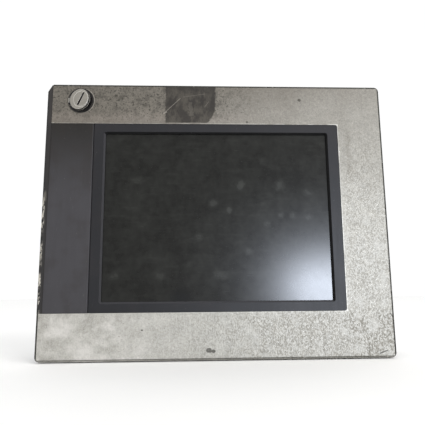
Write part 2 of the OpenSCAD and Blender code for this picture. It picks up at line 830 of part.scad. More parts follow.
// an arm, parked upwards from its pin on the right wall
module clamp_arm(i) {
    c = clamps[i];
    color([0.62, 0.63, 0.65]) translate([c[0], 0, c[1]]) rotate([0, c[2], 0]) difference() {
        union() {
            rod(0, 0, clamp_w, clamp_y, clamp_y + clamp_t);
            translate([-clamp_w / 2, clamp_y, 0]) cube([clamp_w, clamp_t, clamp_reach]);
            rod(0, clamp_reach, clamp_w, clamp_y, clamp_y + clamp_t);
        }
        rod(0, 0, clamp_pin_d + 2 * running, clamp_y - 1, clamp_y + clamp_t + 1);
        rod(0, clamp_reach, thrust_d + 2 * running, clamp_y - 1, clamp_y + clamp_t + 1);
    }
}

module clamp_screw(i) {
    c = clamps[i];
    rear = clamp_y + thrust_l;
    color([0.35, 0.35, 0.36]) translate([c[0], 0, c[1]]) rotate([0, c[2], 0]) difference() {
        union() {
            rod(0, clamp_reach, thrust_d, clamp_y + 0.2, rear + eps);
            rod(0, clamp_reach, 8.4, rear, rear + 5);
        }
        translate([0, rear + 6, clamp_reach]) rotate([90, 0, 0]) cylinder(r = 2.3, h = 4, $fn = 6);
    }
}

// ---- service port; local Z is the height above the plate's face ----
module at_port() {
    translate([port_x, 0, port_z]) out_of_front(plate_front) children();
}

hinge_x = -port_cover_d / 2 - hinge_out;

module port_ring() {
    floor = -cup_depth;
    rear = plate_front - barrel_rear;
    color([0.1, 0.1, 0.1]) at_port() difference() {
        union() {
            cylinder(d1 = port_ring_d, d2 = port_ring_d - 0.4, h = port_ring_h);
            translate([0, 0, floor - cup_floor_t]) cylinder(d = cup_d, h = cup_floor_t - floor + eps);
            translate([0, 0, rear]) cylinder(d = barrel_d, h = floor - rear);
        }
        translate([0, 0, -seat_depth]) cylinder(d = seat_d, h = seat_depth + port_ring_h + 1);
        translate([0, 0, floor]) cylinder(d = cup_bore_d, h = cup_depth);
        translate([0, 0, rear - 1]) cylinder(d = barrel_bore_d, h = floor - rear + 2);
        // notch for the cover's knuckle, open into the cover's seat
        translate([hinge_x - 2, -knuckle_l / 2 - 0.3, hinge_h - knuckle_d / 2 - 0.2])
            cube([4.2, knuckle_l + 0.6, 6]);
        translate([hinge_x, -3.8, hinge_h]) rotate([-90, 0, 0]) cylinder(d = hinge_pin_d, h = 7.6);
    }
}

// a tab on the ledge that the latch's tongue turns under
module port_keeper() {
    r = cup_bore_d / 2;
    color([0.9, 0.9, 0.88]) at_port() intersection() {
        rotate([0, 0, keeper_turn]) translate([r - keeper_in, -1.4, -seat_depth - keeper_t])
            cube([keeper_in + 1, 2.8, keeper_t]);
        translate([0, 0, -5]) cylinder(r = r, h = 5);
    }
}

module port_hinge_pin() {
    color([0.8, 0.8, 0.8]) at_port() translate([hinge_x, -3.8, hinge_h])
        rotate([-90, 0, 0]) cylinder(d = hinge_pin_d, h = 7.6);
}

// everything on the cover is drawn closed, then swung open about its pin
module swung() {
    at_port() translate([hinge_x, 0, hinge_h]) rotate([0, -port_open, 0])
        translate([-hinge_x, 0, -hinge_h]) children();
}

module port_cover() {
    rim = 0.7;
    front = cover_back + port_cover_t;
    color([0.78, 0.77, 0.74]) swung() difference() {
        union() {
            translate([0, 0, cover_back]) cylinder(d = port_cover_d, h = port_cover_t - rim);
            translate([0, 0, front - rim]) cylinder(d1 = port_cover_d, d2 = port_cover_d - 2 * rim, h = rim);
            translate([hinge_x, -knuckle_l / 2, hinge_h]) rotate([-90, 0, 0])
                cylinder(d = knuckle_d, h = knuckle_l);
            translate([hinge_x, -knuckle_l / 2, hinge_h - 0.9]) cube([2, knuckle_l, 0.9]);
        }
        translate([hinge_x, -5, hinge_h]) rotate([-90, 0, 0])
            cylinder(d = hinge_pin_d + 2 * running, h = 10);
        translate([latch_off, 0, front - latch_head_t - 0.1]) cylinder(d = latch_d + 0.2, h = 5);
        translate([latch_off, 0, -5]) cylinder(d = stem_d + 2 * running, h = 10);
        // groove for the seal
        translate([0, 0, cover_back - 1]) difference() {
            cylinder(d = seal_d, h = 1.6);
            translate([0, 0, -1]) cylinder(d = seal_d - 1.6, h = 4);
        }
    }
}

// thin ring in the cover's back that meets the ledge
seal_d = port_cover_d - 1.4;
module cover_seal() {
    color([0.05, 0.05, 0.05]) swung() translate([0, 0, cover_back - 0.05]) difference() {
        cylinder(d = seal_d, h = 0.65);
        translate([0, 0, -1]) cylinder(d = seal_d - 1.6, h = 3);
    }
}

// the latch's stem ends behind the cover, where the tongue is riveted on
tongue_top = -seat_depth - keeper_t - clearance;
module port_latch() {
    front = cover_back + port_cover_t;
    color([0.74, 0.73, 0.7]) swung() translate([latch_off, 0, 0]) difference() {
        union() {
            translate([0, 0, front - latch_head_t]) cylinder(d = latch_d, h = latch_head_t);
            translate([0, 0, tongue_top]) cylinder(d = stem_d, h = front - latch_head_t - tongue_top + eps);
        }
        translate([0, 0, front]) rotate([0, 0, -slot_lean]) {
            cube([slot_w, slot_l - slot_w, 2 * slot_depth], center = true);
            for (s = [-1, 1])
                translate([0, s * (slot_l - slot_w) / 2, -slot_depth]) cylinder(d = slot_w, h = 2 * slot_depth);
        }
    }
}

module latch_tongue() {
    color([0.8, 0.8, 0.78]) swung() translate([latch_off, 0, tongue_top - tongue_t])
        rotate([0, 0, 90 - slot_lean]) {
            cylinder(d = stem_d + 1, h = tongue_t);
            translate([0, -tongue_w / 2, 0]) cube([tongue_l - tongue_w / 2, tongue_w, tongue_t]);
            translate([tongue_l - tongue_w / 2, 0, 0]) cylinder(d = tongue_w, h = tongue_t);
        }
}

// USB insert in the barrel, with its moulded rear and the short lead down into the housing
lead_d = 4;
lead_bend = 9;
insert_face = plate_back + 2;
insert_rear = barrel_rear + 6;
lead_y = insert_rear + lead_bend;
module port_socket() {
    shell_w = 13;
    shell_t = 5.8;
    color([0.12, 0.12, 0.13]) {
        difference() {
            union() {
                rod(port_x, port_z, barrel_bore_d - 0.1, insert_face, barrel_rear);
                rod(port_x, port_z, barrel_bore_d + 2, barrel_rear, insert_rear);
            }
            translate([port_x - shell_w / 2, insert_face - 1, port_z - shell_t / 2]) cube([shell_w, 11, shell_t]);
        }
        translate([port_x - 5.5, insert_face + 0.6, port_z + 0.2]) cube([11, 11, 1.9]);
        translate([port_x, insert_rear, port_z - lead_bend]) rotate([0, 90, 0]) rotate([0, 0, 90])
            rotate_extrude(angle = 90) translate([lead_bend, 0]) circle(d = lead_d);
        translate([port_x, lead_y, notch_z - 8]) cylinder(d = lead_d, h = port_z - lead_bend - notch_z + 8);
    }
}

module port_nut() {
    color([0.2, 0.2, 0.2]) difference() {
        translate([port_x, plate_back + nut_t, port_z]) rotate([90, 0, 0]) cylinder(d = nut_d, h = nut_t, $fn = 6);
        rod(port_x, port_z, barrel_d, plate_back - 1, plate_back + nut_t + 1);
    }
}

front_plate();
edge_strip();
side_insert();
display_bezel();
touch_seal();
touch_glass();
panel_gasket();
lcd_frame();
lcd_cell();
lcd_backlight();
display_bracket();
bracket_screws();
inverter_board();
main_board();
board_standoffs();
board_screws();
board_chips();
heat_sink();
memory_module();
battery_holder();
battery();
display_cable();
rear_housing();
housing_screws();
rear_cover();
cover_screws();
rating_plate();
power_header();
power_plug();
ethernet_sockets();
usb_sockets();
serial_socket();
card_socket();
memory_card();
eject_button();
reset_button();
earth_stud();
earth_nut();
clamp_pins();
clamp_arm(0);  // clamp_arm_1
clamp_arm(1);  // clamp_arm_2
clamp_arm(2);  // clamp_arm_3
clamp_arm(3);  // clamp_arm_4
clamp_arm(4);  // clamp_arm_5
clamp_arm(5);  // clamp_arm_6
clamp_screw(0);  // clamp_screw_1
clamp_screw(1);  // clamp_screw_2
clamp_screw(2);  // clamp_screw_3
clamp_screw(3);  // clamp_screw_4
clamp_screw(4);  // clamp_screw_5
clamp_screw(5);  // clamp_screw_6
port_ring();
port_keeper();
port_hinge_pin();
port_cover();
cover_seal();
port_latch();
latch_tongue();
port_socket();
port_nut();
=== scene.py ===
import json
import math

import bmesh
import bpy
from mathutils import Euler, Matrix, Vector


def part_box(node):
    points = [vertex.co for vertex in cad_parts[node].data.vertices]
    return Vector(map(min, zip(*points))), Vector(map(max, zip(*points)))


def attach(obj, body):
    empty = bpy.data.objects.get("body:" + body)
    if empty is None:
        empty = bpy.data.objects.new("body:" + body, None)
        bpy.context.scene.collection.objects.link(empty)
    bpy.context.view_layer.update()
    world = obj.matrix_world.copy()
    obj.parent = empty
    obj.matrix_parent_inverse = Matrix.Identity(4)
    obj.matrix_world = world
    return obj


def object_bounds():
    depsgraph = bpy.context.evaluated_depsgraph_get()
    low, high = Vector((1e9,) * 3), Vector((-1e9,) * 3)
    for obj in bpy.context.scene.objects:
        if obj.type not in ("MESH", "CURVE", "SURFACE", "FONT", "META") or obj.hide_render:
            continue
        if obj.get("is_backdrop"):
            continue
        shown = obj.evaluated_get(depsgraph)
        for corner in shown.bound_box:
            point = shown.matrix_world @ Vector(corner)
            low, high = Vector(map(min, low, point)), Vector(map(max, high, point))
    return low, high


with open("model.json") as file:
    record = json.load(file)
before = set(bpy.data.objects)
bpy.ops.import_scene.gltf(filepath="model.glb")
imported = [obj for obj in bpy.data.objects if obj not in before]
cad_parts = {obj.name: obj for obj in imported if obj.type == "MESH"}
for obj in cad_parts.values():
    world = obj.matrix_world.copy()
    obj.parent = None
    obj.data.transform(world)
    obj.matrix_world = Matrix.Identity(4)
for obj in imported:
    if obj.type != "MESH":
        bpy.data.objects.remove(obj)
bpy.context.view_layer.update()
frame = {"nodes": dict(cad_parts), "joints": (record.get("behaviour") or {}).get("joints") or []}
NODES = frame["nodes"]

bl_info = {
    "name": "Touch Panel Looks",
    "version": (1, 0, 0),
    "blender": (4, 5, 0),
    "location": "View3D > Sidebar > Touch Panel",
    "description": "Finishes, small fittings, lights and camera for a built-in touch panel",
    "category": "Object",
}

MM = 0.001


def srgb(red, green, blue):
    """A colour given as 0 to 255 display values, turned into the linear values that shaders use."""
    return tuple(((v / 255 + 0.055) / 1.055) ** 2.4 if v > 10 else v / 3294.6 for v in (red, green, blue))


# ---------------------------------------------------------------- shader sums
class Wire:
    """A socket in a finish. Sums written on it add the nodes that work them out."""

    def __init__(self, finish, socket):
        self.finish = finish
        self.socket = socket

    def sum(self, operation, first, second=0.0, third=0.0):
        return self.finish.node("ShaderNodeMath", {"operation": operation}, {0: first, 1: second, 2: third})

    def __add__(self, other):
        return self.sum("ADD", self, other)

    __radd__ = __add__

    def __sub__(self, other):
        return self.sum("SUBTRACT", self, other)

    def __rsub__(self, other):
        return self.sum("SUBTRACT", other, self)

    def __mul__(self, other):
        return self.sum("MULTIPLY", self, other)

    __rmul__ = __mul__

    def __truediv__(self, other):
        return self.sum("DIVIDE", self, other)

    def __pow__(self, other):
        return self.sum("POWER", self, other)

    def __abs__(self):
        return self.sum("ABSOLUTE", self)

    def least(self, other):
        return self.sum("MINIMUM", self, other)

    def most(self, other):
        return self.sum("MAXIMUM", self, other)

    def sine(self):
        return self.sum("SINE", self)

    def rise(self, start, end):
        """0 below start and 1 above end, with a soft step between, or falling if start is the larger."""
        low, high, a, b = (start, end, 0.0, 1.0) if start < end else (end, start, 1.0, 0.0)
        return self.finish.node(
            "ShaderNodeMapRange",
            {"interpolation_type": "SMOOTHSTEP"},
            {"Value": self, "From Min": low, "From Max": high, "To Min": a, "To Max": b},
        )


class Finish:
    """A material being made: a Principled surface and the nodes that feed it, in millimetres."""

    def __init__(self, name, **constants):
        self.material = bpy.data.materials.new(name)
        self.material.use_nodes = True
        self.tree = self.material.node_tree
        self.surface = self.tree.nodes["Principled BSDF"]
        for key, value in constants.items():
            self.surface.inputs[key.replace("_", " ").title().replace("Ior", "IOR")].default_value = value
        coordinates = self.node("ShaderNodeTexCoord", {}, {}, "Object")
        to_millimetres = {0: coordinates, "Scale": 1 / MM}
        self.place = self.node("ShaderNodeVectorMath", {"operation": "SCALE"}, to_millimetres)
        split = self.node("ShaderNodeSeparateXYZ", {}, {0: self.place})
        self.x = split
        self.y = Wire(self, split.socket.node.outputs["Y"])
        self.z = Wire(self, split.socket.node.outputs["Z"])

    def node(self, kind, settings, inputs, output=0):
        """Adds a node with its settings and the value or link of each socket, and returns one output."""
        made = self.tree.nodes.new(kind)
        for key, value in settings.items():
            setattr(made, key, value)
        for key, value in inputs.items():
            socket = made.inputs[key]
            if isinstance(value, Wire):
                self.tree.links.new(value.socket, socket)
            elif socket.type == "RGBA" and len(value) == 3:
                socket.default_value = (*value, 1.0)
            else:
                socket.default_value = value
        return Wire(self, made.outputs[output])

    def stretched(self, stretch, shift=0.0):
        if stretch == (1, 1, 1) and not shift:
            return self.place
        return self.node(
            "ShaderNodeMapping",
            {},
            {"Vector": self.place, "Scale": stretch, "Location": (shift, shift * 0.7, -shift)},
        )

    def noise(self, size, detail=3.0, rough=0.55, stretch=(1, 1, 1), shift=0.0):
        """Cloudy noise from 0 to 1 whose blobs are about size across."""
        return self.node(
            "ShaderNodeTexNoise",
            {},
            {
                "Vector": self.stretched(stretch, shift), "Scale": 1 / size,
                "Detail": detail, "Roughness": rough,
            },
        )

    def cells(self, size, feature="F1", random=1.0, stretch=(1, 1, 1), shift=0.0, output="Distance"):
        """Distance from scattered points about size apart, in shares of size."""
        return self.node(
            "ShaderNodeTexVoronoi",
            {"feature": feature},
            {"Vector": self.stretched(stretch, shift), "Scale": 1 / size, "Randomness": random},
            output,
        )

    def mix(self, factor, first, second, blend="MIX"):
        """Two colours mixed by a factor."""
        made = self.tree.nodes.new("ShaderNodeMix")
        made.data_type = "RGBA"
        made.blend_type = blend
        for number, value in ((0, factor), (6, first), (7, second)):
            socket = made.inputs[number]
            if isinstance(value, Wire):
                self.tree.links.new(value.socket, socket)
            elif number == 0:
                socket.default_value = value
            else:
                socket.default_value = (*value[:3], 1.0)
        return Wire(self, made.outputs[2])

    def dim(self, colour, amount):
        """A colour multiplied by a value."""
        grey = self.node("ShaderNodeCombineColor", {}, {0: amount, 1: amount, 2: amount})
        return self.mix(1.0, colour, grey, "MULTIPLY")

    def blot(self, x, z, wide, high, ragged=0.35, soft=0.25, shift=0.0):
        """1 inside an uneven oval round (x, z), falling to 0 at its edge."""
        across = (self.x - x) / (wide / 2)
        up = (self.z - z) / (high / 2)
        size = min(wide, high)
        edge = (self.noise(size * 0.45, 3.0, 0.6, shift=shift + x * 0.37) - 0.5) * (2 * ragged)
        reach = (across * across + up * up) ** 0.5 + edge
        return reach.rise(1.0, 1.0 - soft)

    def stroke(self, start, end, wide, ragged=0.2):
        """1 along a straight scratch from start to end, both (x, z)."""
        run = Vector((end[0] - start[0], end[1] - start[1]))
        along_x, along_z = run.normalized()
        dx = self.x - start[0]
        dz = self.z - start[1]
        along = dx * along_x + dz * along_z
        off = abs(dz * along_x - dx * along_z) + (self.noise(2.5, 2.0) - 0.5) * (wide * ragged * 4)
        return off.rise(wide / 2 + 0.12, wide / 2 - 0.12) * along.rise(-0.4, 0.4) * along.rise(
            run.length + 0.4, run.length - 0.4
        )

    def worn_edge(self, radius):
        """1 along outside edges, from how far a rounded normal leans from the true one."""
        rounded = self.node("ShaderNodeBevel", {"samples": 4}, {"Radius": radius * MM})
        true = self.node("ShaderNodeNewGeometry", {}, {}, "Normal")
        lean = self.node("ShaderNodeVectorMath", {"operation": "DOT_PRODUCT"}, {0: rounded, 1: true}, "Value")
        return lean.rise(0.985, 0.86)

    def bump(self, height, strength, depth=0.1, under=None):
        """Turns a height from 0 to 1 into a normal. depth is the relief in millimetres."""
        inputs = {"Height": height, "Strength": strength, "Distance": depth * MM}
        if under is not None:
            inputs["Normal"] = under
        return self.node("ShaderNodeBump", {}, inputs)

    def feed(self, colour=None, rough=None, metal=None, normal=None, coat=None):
        for socket, value in (
            ("Base Color", colour),
            ("Roughness", rough),
            ("Metallic", metal),
            ("Normal", normal),
            ("Coat Weight", coat),
        ):
            if isinstance(value, Wire):
                self.tree.links.new(value.socket, self.surface.inputs[socket])
            elif value is not None:
                self.surface.inputs[socket].default_value = (*value, 1.0) if socket == "Base Color" else value
        return self.material


# ---------------------------------------------------------------- finishes of kinds of stuff
def moulded(name, colour, rough=0.5, grain=0.35, wear=(0.25, 0.25, 0.26), dust=0.12, specular=0.4):
    """Moulded plastic: fine spark texture, rubbed edges and a little settled dust."""
    f = Finish(name, specular_ior_level=specular)
    cloud = f.noise(14, 4.0)
    fine = f.noise(0.35, 2.0, 0.6)
    tone = f.dim(colour, 0.82 + cloud * 0.36)
    edge = f.worn_edge(0.35) * f.noise(2.2, 4.0, 0.65).rise(0.38, 0.7)
    dirt = f.noise(5, 5.0, 0.7, shift=3.0).rise(0.5, 0.8) * dust
    tone = f.mix(edge * 0.55, tone, wear)
    tone = f.mix(dirt, tone, (0.32, 0.3, 0.27))
    scuffs = f.noise(1.2, 3.0, 0.6, (0.15, 1, 1.8), 5.0).rise(0.6, 0.78)
    return f.feed(
        tone,
        rough - 0.08 + cloud * 0.14 + scuffs * 0.1 + dirt * 0.5,
        normal=f.bump(fine * 0.7 + scuffs * 0.3, grain, 0.06),
    )


def sheet_steel(name, colour=(0.33, 0.335, 0.33)):
    """Zinc-coated sheet: crystal spangle, rolling lines, dull white bloom and grubby patches."""
    f = Finish(name)
    spangle = f.cells(7.5, output="Color")
    grain = f.node("ShaderNodeSeparateColor", {}, {0: spangle})
    lines = f.noise(0.5, 2.0, 0.5, (1, 1, 0.04))
    cloud = f.noise(38, 5.0, 0.6)
    bloom = f.noise(9, 6.0, 0.7, shift=2.0).rise(0.55, 0.72)
    edge = f.worn_edge(0.4)
    tone = f.dim(colour, 0.78 + grain * 0.2 + lines * 0.1 + cloud * 0.12)
    tone = f.mix(bloom * 0.35, tone, (0.46, 0.46, 0.43))
    grub = f.noise(22, 5.0, 0.65, shift=8.0).rise(0.57, 0.75)
    tone = f.mix(grub * 0.35, tone, (0.2, 0.18, 0.15))
    tone = f.mix(edge * 0.4, tone, (0.62, 0.62, 0.6))
    scratch = f.noise(0.7, 2.0, 0.5, (0.05, 1, 1.4), 11.0).rise(0.66, 0.74)
    return f.feed(
        tone,
        0.34 + grain * 0.16 + bloom * 0.22 + grub * 0.15 - scratch * 0.1,
        0.92 - bloom * 0.45 - grub * 0.3,
        f.bump(grain * 0.25 + lines * 0.35 + scratch * 0.5, 0.3, 0.05),
    )


def turned_metal(name, colour, rough=0.3, metal=1.0, pitch=0.0, grime_and_shade=0.3, axis="y"):
    """Turned or drawn bright metal. pitch adds thread rings along one axis."""
    f = Finish(name)
    fine = f.noise(0.25, 2.0, 0.5, (1, 0.3, 1))
    cloud = f.noise(4, 4.0, 0.6)
    dirt = f.noise(1.6, 4.0, 0.7, shift=4.0).rise(0.5, 0.72) * grime_and_shade
    tone = f.dim(colour, 0.8 + cloud * 0.3)
    tone = f.mix(dirt, tone, (0.09, 0.075, 0.06))
    height = fine * 0.3 + cloud * 0.2
    if pitch:
        rings = getattr(f, axis) * (2 * math.pi / pitch)
        height = height + rings.sine() * 1.2
    return f.feed(
        tone,
        rough + cloud * 0.14 + dirt * 0.4,
        metal - dirt * 0.5,
        f.bump(height, 0.6 if pitch else 0.25, 0.12),
    )


def cast_metal(name, colour=(0.42, 0.43, 0.45)):
    """Die-cast zinc: dull skin, small pits and bright worn edges."""
    f = Finish(name)
    skin = f.noise(0.9, 4.0, 0.6)
    cloud = f.noise(7, 3.0)
    pits = f.cells(1.3, shift=2.0).rise(0.2, 0.05) * f.noise(3, 2.0, shift=6.0).rise(0.5, 0.62)
    edge = f.worn_edge(0.45) * f.noise(1.5, 3.0, 0.6).rise(0.25, 0.6)
    tone = f.dim(colour, 0.75 + cloud * 0.4 - pits * 0.4)
    tone = f.mix(edge * 0.7, tone, (0.75, 0.75, 0.74))
    return f.feed(
        tone, 0.52 + skin * 0.14 - edge * 0.2, 0.85, f.bump(skin * 0.6 - pits, 0.4, 0.12)
    )


def black_oxide(name, pitch):
    """Blackened screw steel: oily sheen, thread rings along Y, and steel showing on the edges."""
    f = Finish(name)
    cloud = f.noise(2.4, 4.0)
    edge = f.worn_edge(0.3) * f.noise(1.1, 3.0, 0.6).rise(0.3, 0.6)
    rings = (f.y * (2 * math.pi / pitch)).sine()
    oiled = f.dim((0.045, 0.045, 0.05), 0.7 + cloud * 0.6)
    tone = f.mix(edge * 0.7 + rings.rise(0.75, 1.0) * 0.25, oiled, (0.5, 0.5, 0.49))
    return f.feed(tone, 0.34 + cloud * 0.16, 0.8, f.bump(rings * 0.5 + cloud * 0.1, 0.7, 0.14))


def sealing_rubber(name, colour=(0.017, 0.017, 0.018)):
    """Black seal: fine cellular skin, chalky dust and small nicks."""
    f = Finish(name, specular_ior_level=0.3)
    pores = f.cells(0.6).rise(0.1, 0.5)
    chalk = f.noise(6, 6.0, 0.7).rise(0.5, 0.75)
    tone = f.mix(chalk * 0.3, f.dim(colour, 0.7 + pores * 0.5), (0.2, 0.19, 0.17))
    return f.feed(tone, 0.78 + chalk * 0.15, normal=f.bump(pores * 0.6 + f.noise(2.5, 3.0) * 0.4, 0.5, 0.12))


def circuit_board(name):
    """Green board: copper runs under the mask, gold pads and a woven ground."""
    f = Finish(name, specular_ior_level=0.5)
    bricks = f.node(
        "ShaderNodeTexBrick",
        {"offset": 0.37},
        {
            "Vector": f.place, "Scale": 0.22, "Mortar Size": 0.035,
            "Brick Width": 1.7, "Row Height": 0.33, "Bias": -0.2,
        },
        "Fac",
    )
    pads = f.cells(3.4, random=0.25).rise(0.2, 0.14)
    weave = f.noise(0.5, 2.0)
    tone = f.mix(bricks * 0.8, f.dim((0.012, 0.11, 0.04), 0.8 + weave * 0.4), (0.03, 0.22, 0.09))
    tone = f.mix(pads, tone, (0.62, 0.5, 0.24))
    rough = 0.32 + weave * 0.12 - pads * 0.08
    return f.feed(tone, rough, pads * 0.9, f.bump(bricks * 0.4 + pads * 0.5, 0.4, 0.05))


def printed_film(name, colour, line, glaze=0.4):
    """Flat film or ribbon: fine parallel conductors and a satin face."""
    f = Finish(name)
    stripes = (f.x * (2 * math.pi / 1.0)).sine().rise(0.1, 0.5)
    cloud = f.noise(8, 4.0)
    tone = f.mix(stripes * 0.7, f.dim(colour, 0.85 + cloud * 0.25), line)
    return f.feed(tone, glaze + cloud * 0.15, normal=f.bump(stripes, 0.25, 0.06))


# ---------------------------------------------------------------- finishes of this panel's own pieces
def plate_metal(wear, tones):
    """Bare aluminium front: darker and browner at the top left from dirt and painted shade, pale from painted
    light, speckled and stained below.
    """
    plate_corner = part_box("front_plate")[1] / MM
    half_w, half_h = plate_corner.x, plate_corner.z
    pocket_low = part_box("side_insert")[0].z / MM
    pocket_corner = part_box("display_bezel")[1] / MM
    pocket_right, pocket_high = pocket_corner.x, pocket_corner.z
    f = Finish("aluminium_front", specular_ior_level=0.25)
    x, z = f.x, f.z
    broad = f.noise(46, 4.0, 0.55)
    patchy = f.noise(11, 5.0, 0.62, shift=7.0)
    mottle = f.noise(3.2, 5.0, 0.68, shift=2.0)
    fine = f.noise(1.5, 3.0, 0.7, shift=5.0)
    # painted light and shade: the front runs from the dull tone at the top left to the pale tone at the
    # bottom right, painting the light that falls brighter on the lower right over dirtier metal at the top
    # left
    clean_and_lit = x / (half_w * 4.3) - z / (half_h * 2.35) + 0.42 + (broad - 0.5) * 0.35
    clean_and_lit = (clean_and_lit * 1.6).most(0.0).least(1.0)
    tone = f.mix(clean_and_lit, tones.dull_metal, tones.pale_metal)
    shade = 1.02 + (patchy - 0.5) * 0.4 + (mottle - 0.5) * 0.75 + (fine - 0.5) * 0.95
    tone = f.dim(tone, shade)
    # grime of the top rail: soft dark blotches, a paler and pinker lower half
    top_rail = z.rise(pocket_high - 2, pocket_high + 8) * x.rise(70, -20)
    soot = f.noise(8, 5.0, 0.72, shift=12.0).rise(0.44, 0.68) * top_rail
    dots = f.noise(2.3, 3.0, 0.6, shift=18.0).rise(0.53, 0.64) * top_rail
    tone = f.mix((soot * 0.6).most(dots * 0.85), tone, srgb(50, 48, 42))
    pink = z.rise(pocket_high + 19, pocket_high + 3) * top_rail * (0.4 + patchy * 0.8)
    tone = f.mix(pink * 0.28, tone, srgb(164, 153, 144))
    # wiped, brighter metal low on the left, also painted light that lifts the dim lower left
    smear = f.noise(26, 4.0, 0.6, (1, 1, 1.3), 31.0).rise(0.36, 0.7)
    smear = smear * z.rise(pocket_low + 4, pocket_low - 6) * x.rise(-25, -110)
    tone = f.mix(smear * 0.6, tone, srgb(218, 215, 210))
    # pits, denser along the bottom
    pits = f.cells(1.9, shift=1.0).rise(0.27, 0.1) * f.noise(4, 3.0, shift=9.0).rise(0.4, 0.66)
    low_rail = z.rise(pocket_low + 6, pocket_low - 8)
    side_rail = x.rise(pocket_right - 2, pocket_right + 8) * z.rise(118, 70)
    grit = f.noise(1.45, 2.0, 0.5, (1.3, 1, 0.8), 4.0).rise(0.58, 0.36)
    grit = grit * f.noise(14, 3.0, 0.5, shift=3.0).rise(0.24, 0.5)
    pitted = (pits * 0.5 + grit * (low_rail * x.rise(-95, 60) * 0.5 + side_rail * 0.32 + 0.16)).least(1.0)
    tone = f.mix(pitted * 0.5, tone, srgb(96, 91, 82))
    # fine scratches on the lower rail, lit and dark
    lines = f.noise(1.6, 2.0, 0.5, (1.6, 1, 0.16), 35.0).rise(0.62, 0.7) * low_rail
    tone = f.mix(lines * 0.3, tone, srgb(206, 203, 197))
    dents = f.noise(2.2, 3.0, 0.6, (0.5, 1, 1.6), 39.0).rise(0.64, 0.72) * low_rail
    tone = f.mix(dents * 0.5, tone, srgb(98, 94, 86))
    # the big dark patch left by something stuck on the top rail
    uneven = (f.noise(2.2, 4.0, 0.7) - 0.5) * 5.0
    left = (x + uneven).rise(-57.6, -55.8)
    below = (126.0 - z).most(0.0)
    right = (x + uneven * 1.3 + (z - 106.0).least(0.0) * 0.4 + below * below * 0.022).rise(0.4, -1.6)
    under = (z - uneven * 0.3).rise(105.3, 106.3)
    patch = left * right * under
    inside = f.noise(9, 4.0, 0.6, (1, 1, 0.6), 21.0)
    brushed = f.noise(1.3, 3.0, 0.6, (1.6, 1, 0.35), 15.0)
    patch_tone = f.mix(inside.rise(0.38, 0.62), srgb(44, 39, 34), srgb(80, 75, 67))
    patch_tone = f.dim(patch_tone, 0.3 + brushed * 0.8)
    dark_rim = (x.rise(-48, -57) + z.rise(140, 147) * 0.8 + x.rise(-14, -2) * 0.9).least(1.0)
    patch_tone = f.mix(dark_rim * 0.5, patch_tone, srgb(34, 30, 26))
    rubbed = f.stroke((-27.5, 114), (-29.5, 130), 5.0, 0.6) * 0.25
    patch_tone = f.mix(rubbed, patch_tone, srgb(112, 107, 98))
    tone = f.mix(patch * wear.stain, tone, patch_tone)
    scores = f.stroke((-57.5, 117.5), (-40, 134.5), 0.6).most(f.stroke((-59, 116), (-55, 118.5), 1.6))
    scores = (scores * 0.75).most(f.stroke((-37, 136), (-12, 140), 0.5) * 0.3)
    scores = scores.most(f.stroke((-13, 124), (-8, 131), 0.5) * 0.4)
    tone = f.mix(scores * 0.6, tone, srgb(158, 152, 143))
    # single marks
    marks = f.blot(34.8, 106.9, 2.8, 2.4)
    for at_x, at_z, size in (
        (94.9, 133.5, 4.6), (-78.8, -119.1, 2.6), (-112, 137, 4.0),
        (-9.6, -140, 7.0), (-5, -141, 5.0), (136, 92, 2.5),
    ):
        marks = marks.most(f.blot(at_x, at_z, size, size * 0.8))
    marks = marks.most(f.stroke((169, -145.5), (178, -142.5), 1.2))
    marks = marks.most(f.stroke((183, -104), (186.5, -110), 1.1))
    ring = abs(f.blot(-121, 115, 11, 9, 0.12, 1.0) - 0.45).rise(0.28, 0.08)
    tone = f.mix((marks * 0.8).most(ring * 0.35), tone, srgb(58, 55, 48))
    wander = x + (f.noise(7, 3.0, shift=17.0) - 0.5) * 9
    streak = abs(wander - 148.5).rise(5.0, 0.8) * z.rise(42, 56) * z.rise(103, 92) * mottle.rise(0.38, 0.6)
    tone = f.mix(streak * 0.65, tone, srgb(112, 107, 98))
    # edges: bright lip round the pocket as a painted highlight, dark line on the outer bevel as painted
    # shade, with knocks in it
    off_pocket = (x - pocket_right).most(z - pocket_high).most(pocket_low - z)
    lip_highlight_breakup = f.noise(16, 4.0, 0.6, shift=23.0).rise(0.3, 0.62)
    lip = off_pocket.rise(1.2, 0.5) * lip_highlight_breakup * (0.2 + x.rise(-30, 130) * 0.35)
    tone = f.mix(lip, tone, srgb(222, 220, 214))
    # painted shade: dark line round the outer bevel of the plate, weaker along the bottom edge
    rim = (half_w - abs(x)).least(half_h - abs(z))
    dark = rim.rise(2.5, 1.7) * (0.55 + f.noise(13, 4.0, 0.7, shift=6.0) * 0.9).least(1.0)
    bottom_lip = (z + half_h).rise(1.7, 1.2)
    tone = f.mix(dark * (1.0 - bottom_lip * 0.75), tone, srgb(40, 39, 34))
    knocks = rim.rise(2.4, 1.2) * f.noise(5, 4.0, 0.7, shift=14.0).rise(0.62, 0.7)
    tone = f.mix(knocks * 0.55, tone, srgb(190, 188, 182))
    port_low, port_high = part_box("port_ring")
    around_x = x - (port_low.x + port_high.x) / 2 / MM
    around_z = z - (port_low.z + port_high.z) / 2 / MM
    ring_off = (around_x * around_x + around_z * around_z) ** 0.5 - (port_high.x - port_low.x) / 2 / MM
    # painted highlight on the plate just outside the right side of the port ring
    glow = ring_off.rise(1.3, 0.7) * ring_off.rise(0.2, 0.5) * around_x.rise(4, 12)
    tone = f.mix(glow * 0.45, tone, srgb(190, 184, 174))
